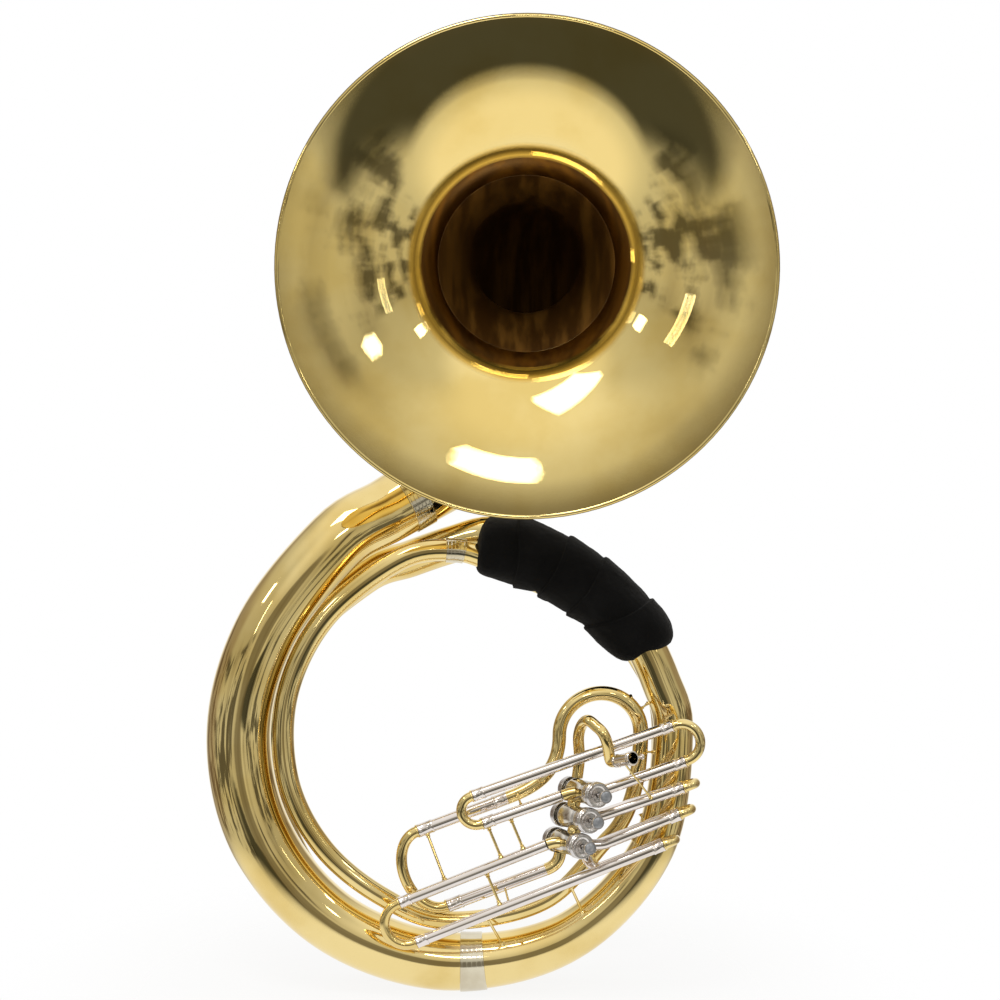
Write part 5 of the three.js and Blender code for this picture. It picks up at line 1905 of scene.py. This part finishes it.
    def build_braces(self) -> None:
        """The posts between the slides and to the body."""
        r = self.radius
        low = -self.third_left_span
        spots = [
            ("brace_first_1", self.first.at(-self.first_reach * 0.97, 0), r, 0.0),
            ("brace_first_2", self.first.at(-self.first_reach * 0.75, 0), r, 0.0),
            ("brace_main", self.main.at(self.main_upper_run * 0.075, self.main_span), self.main_radius, 0.0),
            ("brace_third", self.third.at(-self.third_reach * 0.5, 0), r, low),
        ]
        for name, start, size, rise in spots:
            self.post(name, start, size, self.third.beside(start, rise), r)
        for name, share, angle in (("brace_body_1", 0.595, -435), ("brace_body_2", 0.105, -413.9)):
            end = self.winding.station(angle)
            self.post(name, self.third.at(-self.third_reach * share, low), r, end.point, end.radius)
        small = [(f"small_brace_{i}", "horn", row) for i, row in enumerate(self.fitting_shares, 1)]
        for name, body, row in [*small, ("water_key", "main_slide", self.key_shares)]:
            start, end = (RING_CENTRE + place(shares) for shares in row)
            Piece.add(name, Shaper.post(start, end, self.fitting, self.fitting_foot), BRASS, Slot.BRASS, body)


@dataclass
class LoopAndMouthpipe:
    """The loop to the inner turn, and the mouthpipe with its receiver."""

    slides: SlideSet
    loop_shares: Triple = (0.716, -0.1, 0.031)
    loop_radius: float = 0.0575
    loop_start: float = 0.0092
    lean: float = 0.008
    pull: float = 0.050
    wall: float = 0.001
    loop_steps: int = 40
    mouthpipe_radius: float = 0.008
    mouthpipe_wall: float = 0.0009
    way_shares: tuple[Triple, ...] = (
        (0.617, -0.173, -0.08),
        (0.613, -0.193, 0.04),
        (0.630, -0.240, 0.106),
        (0.657, -0.293, 0.133),
        (0.698, -0.328, 0.107),
    )
    mouth_shares: Triple = (0.855, -0.467, -0.004)
    aim_shares: Triple = (0.536, -0.792, 0.291)
    receiver_length: float = 0.040
    receiver_radius: float = 0.0086
    receiver_bore: float = 0.008
    receiver_taper: float = 0.0018
    rim_radius: float = 0.0102
    rim_length: float = 0.007

    def build(self) -> None:
        """Builds the loop and the mouthpipe."""
        self.build_loop()
        self.build_mouthpipe()

    def build_loop(self) -> None:
        """Sweeps the loop from the main slide round to the inner turn."""
        winding, slides = self.slides.winding, self.slides
        centre = RING_CENTRE + place(self.loop_shares)
        arm = Vector((self.loop_radius, self.lean, 0))
        start = slides.main.at(slides.main_upper_run, slides.main_span)
        first = winding.station(winding.angles[0])
        arc = []
        for i in range(self.loop_steps + 1):
            turn = math.pi * i / self.loop_steps
            spot = centre - arm * math.cos(turn) + UP * (self.loop_radius * math.sin(turn))
            onward = arm * math.sin(turn) + UP * (self.loop_radius * math.cos(turn))
            arc.append(Station(spot, onward.normalized()))
        way = Ways.joined(
            Ways.bend(start, slides.main.along, self.pull, centre - arm, UP, self.pull, 24),
            arc,
            Ways.bend(centre + arm, -UP, self.pull, first.point, first.direction, self.pull, 24),
        )
        grow = first.radius - self.loop_start
        stations = Ways.sized(way, lambda share: self.loop_start + grow * share)
        shape = Shaper.tube(stations, self.wall, 48)
        Piece.add("loop_tube", shape, BRASS, Slot.BRASS, nodes=["loop_branch"])

    def build_mouthpipe(self) -> None:
        """Sweeps the mouthpipe from the first valve up to the receiver."""
        aim = Vector(self.aim_shares).normalized()
        mouth = RING_CENTRE + place(self.mouth_shares)
        rear = mouth - aim * self.receiver_length
        port = self.slides.valves.at_depth(0, self.way_shares[0][1] * RING_RADIUS)
        points = [port, *(RING_CENTRE + place(row) for row in self.way_shares)]
        way = Ways.eased(points, 12)
        knee = rear - aim * self.mouthpipe_radius
        size = self.mouthpipe_radius
        turn = Ways.bend(way[-1].point, way[-1].direction, size * 3.6, knee, aim, size * 2.2, 24)
        whole = Ways.joined(way, turn, Ways.line(knee, rear, 0, 1))
        stations = Ways.sized(self.slides.valves.outside(0, whole, 1.0), size)
        square = Vector((-aim.y, aim.x, 0))
        shape = Shaper.tube(stations, self.mouthpipe_wall, 40, square)
        Piece.add("mouthpipe_tube", shape, BRASS, Slot.BRASS, nodes=["leadpipe"])
        self.build_receiver(mouth, rear, aim, square)

    def build_receiver(self, mouth: Vector, rear: Vector, aim: Vector, square: Vector) -> None:
        """Turns the receiver and its clamp screw.

        Args:
            mouth: The middle of its mouth.
            rear: The middle of its foot.
            aim: The direction out of its mouth.
            square: A direction square to that.
        """
        length, r, rim = self.receiver_length, self.receiver_radius, self.rim_radius
        bore, taper = self.receiver_bore, self.receiver_taper
        profile = [
            (bore - taper, 0),
            (r, 0),
            (r + 0.0008, 0.001),
            (r + 0.0008, 0.004),
            (r, 0.005),
            (r, length - self.rim_length - 0.001),
            (rim, length - self.rim_length),
            (rim, length - 0.005),
            (rim - 0.0006, length - 0.0045),
            (rim - 0.0006, length - 0.0035),
            (rim, length - 0.003),
            (rim, length - 0.001),
            (rim - 0.001, length),
            (bore, length),
        ]
        shape = Shaper.turned(profile, Station(rear, aim).frame(square), 56)
        out = square.normalized()
        foot = mouth - aim * (self.rim_length / 2) + out * (rim - 0.001)
        shank = [(0, 0), (0.0016, 0), (0.0016, 0.007)]
        head = [(0.0038, 0.0072), (0.0042, 0.0078), (0.0042, 0.0094), (0.0036, 0.010), (0, 0.010)]
        screw = Shaper.turned(shank + head, Station(foot, out).frame(aim), 24)
        whole = Shaper.merged([shape, screw])
        Piece.add("receiver_tube", whole, NICKEL, Slot.NICKEL, nodes=["receiver"])


@dataclass
class ShoulderPad:
    """The black wrap round the two tubes at the shoulder."""

    section_shares: tuple[tuple[float, float, float, float, float], ...] = (
        (80.5, 0.772, 1.045, 0.125, 0.205),
        (72, 0.765, 1.078, 0.110, 0.180),
        (62, 0.775, 1.092, 0.092, 0.150),
        (50, 0.802, 1.113, 0.083, 0.168),
        (38, 0.840, 1.137, 0.085, 0.193),
        (23, 0.862, 1.195, 0.090, 0.205),
    )
    lap_shares: tuple[tuple[float, float], ...] = (
        (0.146, 0.246),
        (0.378, 0.402),
        (0.551, 0.604),
        (0.811, 0.730),
    )
    lap_step: float = 0.0042
    squareness: float = 0.62
    shrink: float = 0.0025
    voxel: float = 0.005
    pressure: float = 4.0
    cap: float = 0.006
    frames: int = 20
    end_rounding: float = 0.013
    lap_edge: float = 0.008
    lap_lean: float = 0.035
    lap_wave: float = 0.006
    slack: tuple[tuple[float, float], ...] = ((38, 0.0009), (120, 0.0003))
    steps: int = 56
    sides: int = 48
    rounded: int = 5

    def section(self, share: float) -> list[float]:
        """The pad's section at a share of its length.

        Args:
            share: From 0 at its left end to 1 at its right end.

        Returns:
            The angle in degrees, then in shares the inner and outer distance, the middle depth and half of
            the depth.
        """
        row = share * (len(self.section_shares) - 1)
        i = min(int(row), len(self.section_shares) - 2)
        near, far = self.section_shares[i], self.section_shares[i + 1]
        return [a + (b - a) * (row - i) for a, b in zip(near, far)]

    def spot(self, share: float, turn: float, inset: float) -> Vector:
        """A point of the pad's skin.

        Args:
            share: The share of its length.
            turn: The angle round its section.
            inset: How far inside the full shape the point lies.

        Returns:
            The point.
        """
        angle, near, far, middle, half = self.section(share)
        across = (far - near) / 2 * RING_RADIUS - inset
        away = (near + far) / 2 * RING_RADIUS + across * self.squared(math.cos(turn))
        depth = middle * RING_RADIUS + (half * RING_RADIUS - inset) * self.squared(math.sin(turn))
        a = math.radians(angle)
        return RING_CENTRE + Vector((away * math.cos(a), depth, away * math.sin(a)))

    def squared(self, value: float) -> float:
        """A sine or cosine drawn towards a square."""
        return math.copysign(abs(value) ** self.squareness, value)

    def core(self) -> bmesh.types.BMesh:
        """The plain stuffed form, drawn up from a circle and then laid over the shoulder."""
        made = bmesh.new()
        bmesh.ops.create_circle(made, cap_ends=True, radius=1, segments=self.sides)
        edges = list(made.edges)
        for _ in range(self.steps):
            edges, corners = Shaper.grow(made, edges)
            bmesh.ops.translate(made, verts=corners, vec=(0, 0, 1))
        bmesh.ops.edgeloop_fill(made, edges=edges)
        for vert in made.verts:
            end = max(0.0, 1 - min(vert.co.z, self.steps - vert.co.z) / self.rounded)
            inset = self.shrink + self.end_rounding * (1 - math.sqrt(1 - end * end))
            vert.co = self.spot(vert.co.z / self.steps, math.atan2(vert.co.y, vert.co.x), inset)
        bmesh.ops.recalc_face_normals(made, faces=made.faces)
        return made

    def stuffed(self, shape: bmesh.types.BMesh) -> bpy.types.Object:
        """Swells the form with a short cloth simulation.

        Args:
            shape: The plain form.

        Returns:
            The swollen object.
        """
        pad = Piece.place("pad_wrap", shape)
        remesh = pad.modifiers.new("remesh", "REMESH")
        remesh.mode = "VOXEL"
        remesh.voxel_size = self.voxel
        self.apply(pad)
        before = [v.co.copy() for v in pad.data.vertices]
        cloth = pad.modifiers.new("cloth", "CLOTH")
        cloth.settings.use_pressure = True
        cloth.settings.uniform_pressure_force = self.pressure
        cloth.settings.effector_weights.gravity = 0
        cloth.settings.quality = 6
        cloth.point_cache.frame_start, cloth.point_cache.frame_end = 1, self.frames
        for frame in range(1, self.frames + 1):
            bpy.context.scene.frame_set(frame)
        self.apply(pad)
        bpy.context.scene.frame_set(1)
        for vert, old in zip(pad.data.vertices, before):
            move = vert.co - old
            if move.length > self.cap:
                vert.co = old + move.normalized() * self.cap
        return pad

    def apply(self, piece: bpy.types.Object) -> None:
        """Replaces a piece's mesh with what its modifiers make of it."""
        graph = bpy.context.evaluated_depsgraph_get()
        graph.update()
        made = bpy.data.meshes.new_from_object(piece.evaluated_get(graph))
        piece.modifiers.clear()
        piece.data = made

    def lap(self, share: float, turn: float) -> float:
        """How far a lap stands proud at a place.

        Args:
            share: The share of the pad's length.
            turn: The angle round its section.

        Returns:
            The height in metres.
        """
        inner = 0.5 - 0.5 * math.cos(turn)
        behind = self.lap_lean * max(0.0, math.sin(turn)) + self.lap_wave * math.sin(3 * turn)
        edges = [-0.2, *(near + (far - near) * inner + behind for near, far in self.lap_shares), 1.2]
        i = max(k for k in range(len(edges) - 1) if edges[k] <= share or k == 0)
        phase = (share - edges[i]) / (edges[i + 1] - edges[i])
        rise = min(1.0, (share - edges[i]) / self.lap_edge)
        return self.lap_step * (1 - phase) * rise

    def build(self) -> None:
        """Builds the stuffed form and raises the laps of its wrap."""
        pad = self.stuffed(self.core())
        shape = bmesh.new()
        shape.from_mesh(pad.data)
        for _ in range(2):
            bmesh.ops.subdivide_edges(shape, edges=shape.edges, cuts=1, use_grid_fill=True)
            axes = {"use_axis_x": True, "use_axis_y": True, "use_axis_z": True}
            bmesh.ops.smooth_vert(shape, verts=shape.verts, factor=0.5, **axes)
        shape.normal_update()
        first, last = self.section_shares[0][0], self.section_shares[-1][0]
        moves = {}
        for vert in shape.verts:
            local = vert.co - RING_CENTRE
            angle = math.degrees(math.atan2(local.z, local.x))
            share = (first - angle) / (first - last)
            _, near, far, middle, half = self.section(min(1, max(0, share)))
            away = math.hypot(local.x, local.z)
            turn = math.atan2(
                (local.y - middle * RING_RADIUS) / (half * RING_RADIUS),
                (away - (near + far) / 2 * RING_RADIUS) / ((far - near) / 2 * RING_RADIUS),
            )
            slack = sum(noise.noise(vert.co * scale) * height for scale, height in self.slack)
            moves[vert] = vert.normal * (self.lap(share, turn) + slack)
        for vert, move in moves.items():
            vert.co += move
        bmesh.ops.recalc_face_normals(shape, faces=shape.faces)
        for face in shape.faces:
            face.smooth = True
        shape.to_mesh(pad.data)
        shape.free()
        pad.data.materials.clear()
        pad.data.materials.append(WRAP.material())
        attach(pad, "horn")
        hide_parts("shoulder_pad")
        LOG.info("pad_wrap: %d faces on horn", len(pad.data.polygons))


@dataclass
class Room:
    """The light and shade that the polished metal mirrors, with white behind the horn.

    Each tone is a colour. A share says how much of it covers what is there already.
    """

    kit: NodeKit
    ground: Triple = (1.0, 0.96, 0.86)
    skirting: Triple = (0.66, 0.65, 0.60)
    wall: Triple = (0.62, 0.60, 0.54)
    ceiling: Triple = (1.0, 0.985, 0.96)
    flank: Triple = (0.40, 0.39, 0.34)
    flank_share: float = 0.55
    belt: Triple = (0.05, 0.045, 0.035)
    belt_least: float = 0.08
    patch_share: float = 0.8
    shelf: Triple = (0.03, 0.032, 0.026)
    shelf_share: float = 0.94
    bar: Triple = (0.12, 0.09, 0.06)
    bar_share: float = 0.22
    bar_pitch: float = 21
    viewer: Triple = (0.12, 0.10, 0.07)
    viewer_share: float = 0.75
    rim: Triple = (0.22, 0.14, 0.09)
    rim_share: float = 0.5
    white: Triple = (1, 1, 1)

    def colour(self) -> Signal:
        """The world's colour.

        Returns:
            White for the camera. For every other ray the room, with white behind the horn.
        """
        kit = self.kit
        way = kit.node("ShaderNodeTexCoord", output="Object")
        side, back, height = kit.axes(way)
        patches = kit.noise(way, 5.5, 5, 0.62).between(0.47, 0.56)
        room = self.objects(self.walls(side * side, height), side, 0 - back, height, patches)
        rim = back.between(-0.2, 0.15) * height.about(0, 0.35, 0.1)
        room = kit.mix(rim * self.rim_share, room, self.rim)
        behind = back.between(0.74, 0.92) * kit.shown()
        return kit.mix(kit.ray("Camera"), kit.mix(behind, room, self.white), self.white)

    def walls(self, wide: Signal, height: Signal) -> Signal:
        """The ground, the walls and the ceiling.

        Args:
            wide: The square of how far a ray goes to the side.
            height: How far it goes up.

        Returns:
            Their colour.
        """
        room = self.kit.mix(height.between(-0.75, -0.5), self.ground, self.skirting)
        room = self.kit.mix(height.between(-0.1, 0.1), room, self.wall)
        room = self.kit.mix(height.between(0.15, 0.72), room, self.ceiling)
        flank = wide.between(0.06, 0.35) * (1.0 - height.between(0.6, 0.85)) * height.between(0.0, 0.2)
        return self.kit.mix(flank * self.flank_share, room, self.flank)

    def objects(self, room: Signal, side: Signal, front: Signal, height: Signal, patches: Signal) -> Signal:
        """Dark things that stand round the horn.

        Args:
            room: The colour behind them.
            side: How far a ray goes to the side.
            front: How far it goes to the front.
            height: How far it goes up.
            patches: An uneven value for their edges.

        Returns:
            The colour with a belt, a low shelf, upright bars and the viewer.
        """
        wide = side * side
        belt = height.about(-0.16, 0.14, 0.09) * wide.between(0.09, 0.14)
        room = self.kit.mix(belt * (patches * self.patch_share + self.belt_least), room, self.belt)
        shelf = height.about(-0.38, 0.032, 0.020) * front.between(0.25, 0.5) * (1 - wide.between(0.10, 0.30))
        room = self.kit.mix(shelf * self.shelf_share, room, self.shelf)
        wave = (side * self.bar_pitch + patches * self.patch_share).sine() * 0.5 + 0.5
        bars = wave.between(0.62, 0.8) * front.between(0.3, 0.6) * height.about(0, 0.10, 0.02)
        room = self.kit.mix(bars * self.bar_share, room, self.bar)
        return self.kit.mix(front.between(0.955, 0.975) * self.viewer_share, room, self.viewer)


@dataclass
class Lamp:
    """A soft box that looks at the horn."""

    name: str
    way: Triple
    reach: float
    width: float
    height: float
    power: float

    def hang(self, target: Vector) -> None:
        """Hangs the lamp.

        Args:
            target: The point that it looks at.
        """
        lamp = bpy.data.lights.new(self.name, "AREA")
        lamp.shape = "RECTANGLE"
        lamp.size, lamp.size_y = self.width, self.height
        lamp.energy = self.power
        holder = bpy.data.objects.new(self.name, lamp)
        holder.location = target + Vector(self.way).normalized() * self.reach
        holder.rotation_euler = (-Vector(self.way)).to_track_quat("-Z", "Y").to_euler()
        bpy.context.scene.collection.objects.link(holder)


LAMPS = (
    Lamp("key", (-0.30, -0.46, 0.84), 2.6, 1.25, 0.8, 22),
    Lamp("window", (0.07, -0.95, 0.31), 3.0, 0.46, 0.20, 3.2),
    Lamp("right", (-0.87, -0.33, 0.38), 2.6, 0.3, 0.3, 2.2),
    Lamp("left", (0.85, -0.27, 0.45), 2.6, 0.3, 0.22, 1.6),
    Lamp("spot", (0.52, -0.83, 0.20), 2.8, 0.22, 0.18, 1.0),
    Lamp("tall left", (-0.62, -0.78, 0.16), 3.0, 0.05, 0.7, 0.9),
    Lamp("tall right", (0.80, -0.58, 0.10), 3.0, 0.035, 0.6, 0.45),
)


@dataclass
class Studio:
    """The floor, the light and the camera."""

    floor_level: float
    camera_place: Triple = (-0.0753, -4.113, 0.732)
    pitch: float = math.radians(8)
    lens: float = 106.5
    sensor: float = 36
    floor_size: float = 5.0
    target: Vector = field(default_factory=lambda: Vector((-0.04, -0.2, 0.48)))

    def build(self) -> None:
        """Sets up the whole studio."""
        self.build_floor()
        self.build_world()
        for lamp in LAMPS:
            lamp.hang(self.target)
        self.build_camera()
        bpy.context.scene.view_settings.view_transform = "Standard"

    def build_floor(self) -> None:
        """Lays the floor just under the horn."""
        shape = bmesh.new()
        bmesh.ops.create_grid(shape, x_segments=2, y_segments=2, size=self.floor_size / 2)
        bmesh.ops.translate(shape, verts=shape.verts, vec=(0, 0, self.floor_level))
        Piece.place("floor", shape, GROUND)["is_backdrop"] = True

    def build_world(self) -> None:
        """Puts the room round the horn."""
        world = bpy.data.worlds.new("studio")
        world.use_nodes = True
        bpy.context.scene.world = world
        kit = NodeKit(world.node_tree)
        shade = kit.node("ShaderNodeBackground", None, {"Color": Room(kit).colour(), "Strength": 1.0})
        made = kit.tree.nodes.new("ShaderNodeOutputWorld")
        kit.tree.links.new(shade.socket, made.inputs["Surface"])

    def build_camera(self) -> None:
        """Sets the camera where the photographer stood."""
        data = bpy.data.cameras.new("camera")
        data.lens = self.lens
        data.sensor_width = self.sensor
        camera = bpy.data.objects.new("camera", data)
        camera.location = self.camera_place
        camera.rotation_euler = (math.pi / 2 - self.pitch, 0, 0)
        bpy.context.scene.collection.objects.link(camera)
        bpy.context.scene.camera = camera


def corners() -> list[list[float]]:
    """The shown object's lowest and highest corners as plain lists."""
    return [list(corner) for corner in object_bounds()]


def main() -> None:
    """Builds the horn's dress and the studio."""
    logging.basicConfig(level=logging.INFO, format="%(name)s: %(message)s")
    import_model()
    before = corners()
    winding = Winding()
    winding.build()
    BellSection(winding.stem, winding.collar_radius).build()
    Collar(winding.collar_base).build()
    valves = ValveRow()
    valves.build()
    slides = SlideSet(valves, winding)
    slides.build()
    LoopAndMouthpipe(slides).build()
    ShoulderPad().build()
    Studio(before[0][2]).build()


if __name__ == "__main__":
    main()
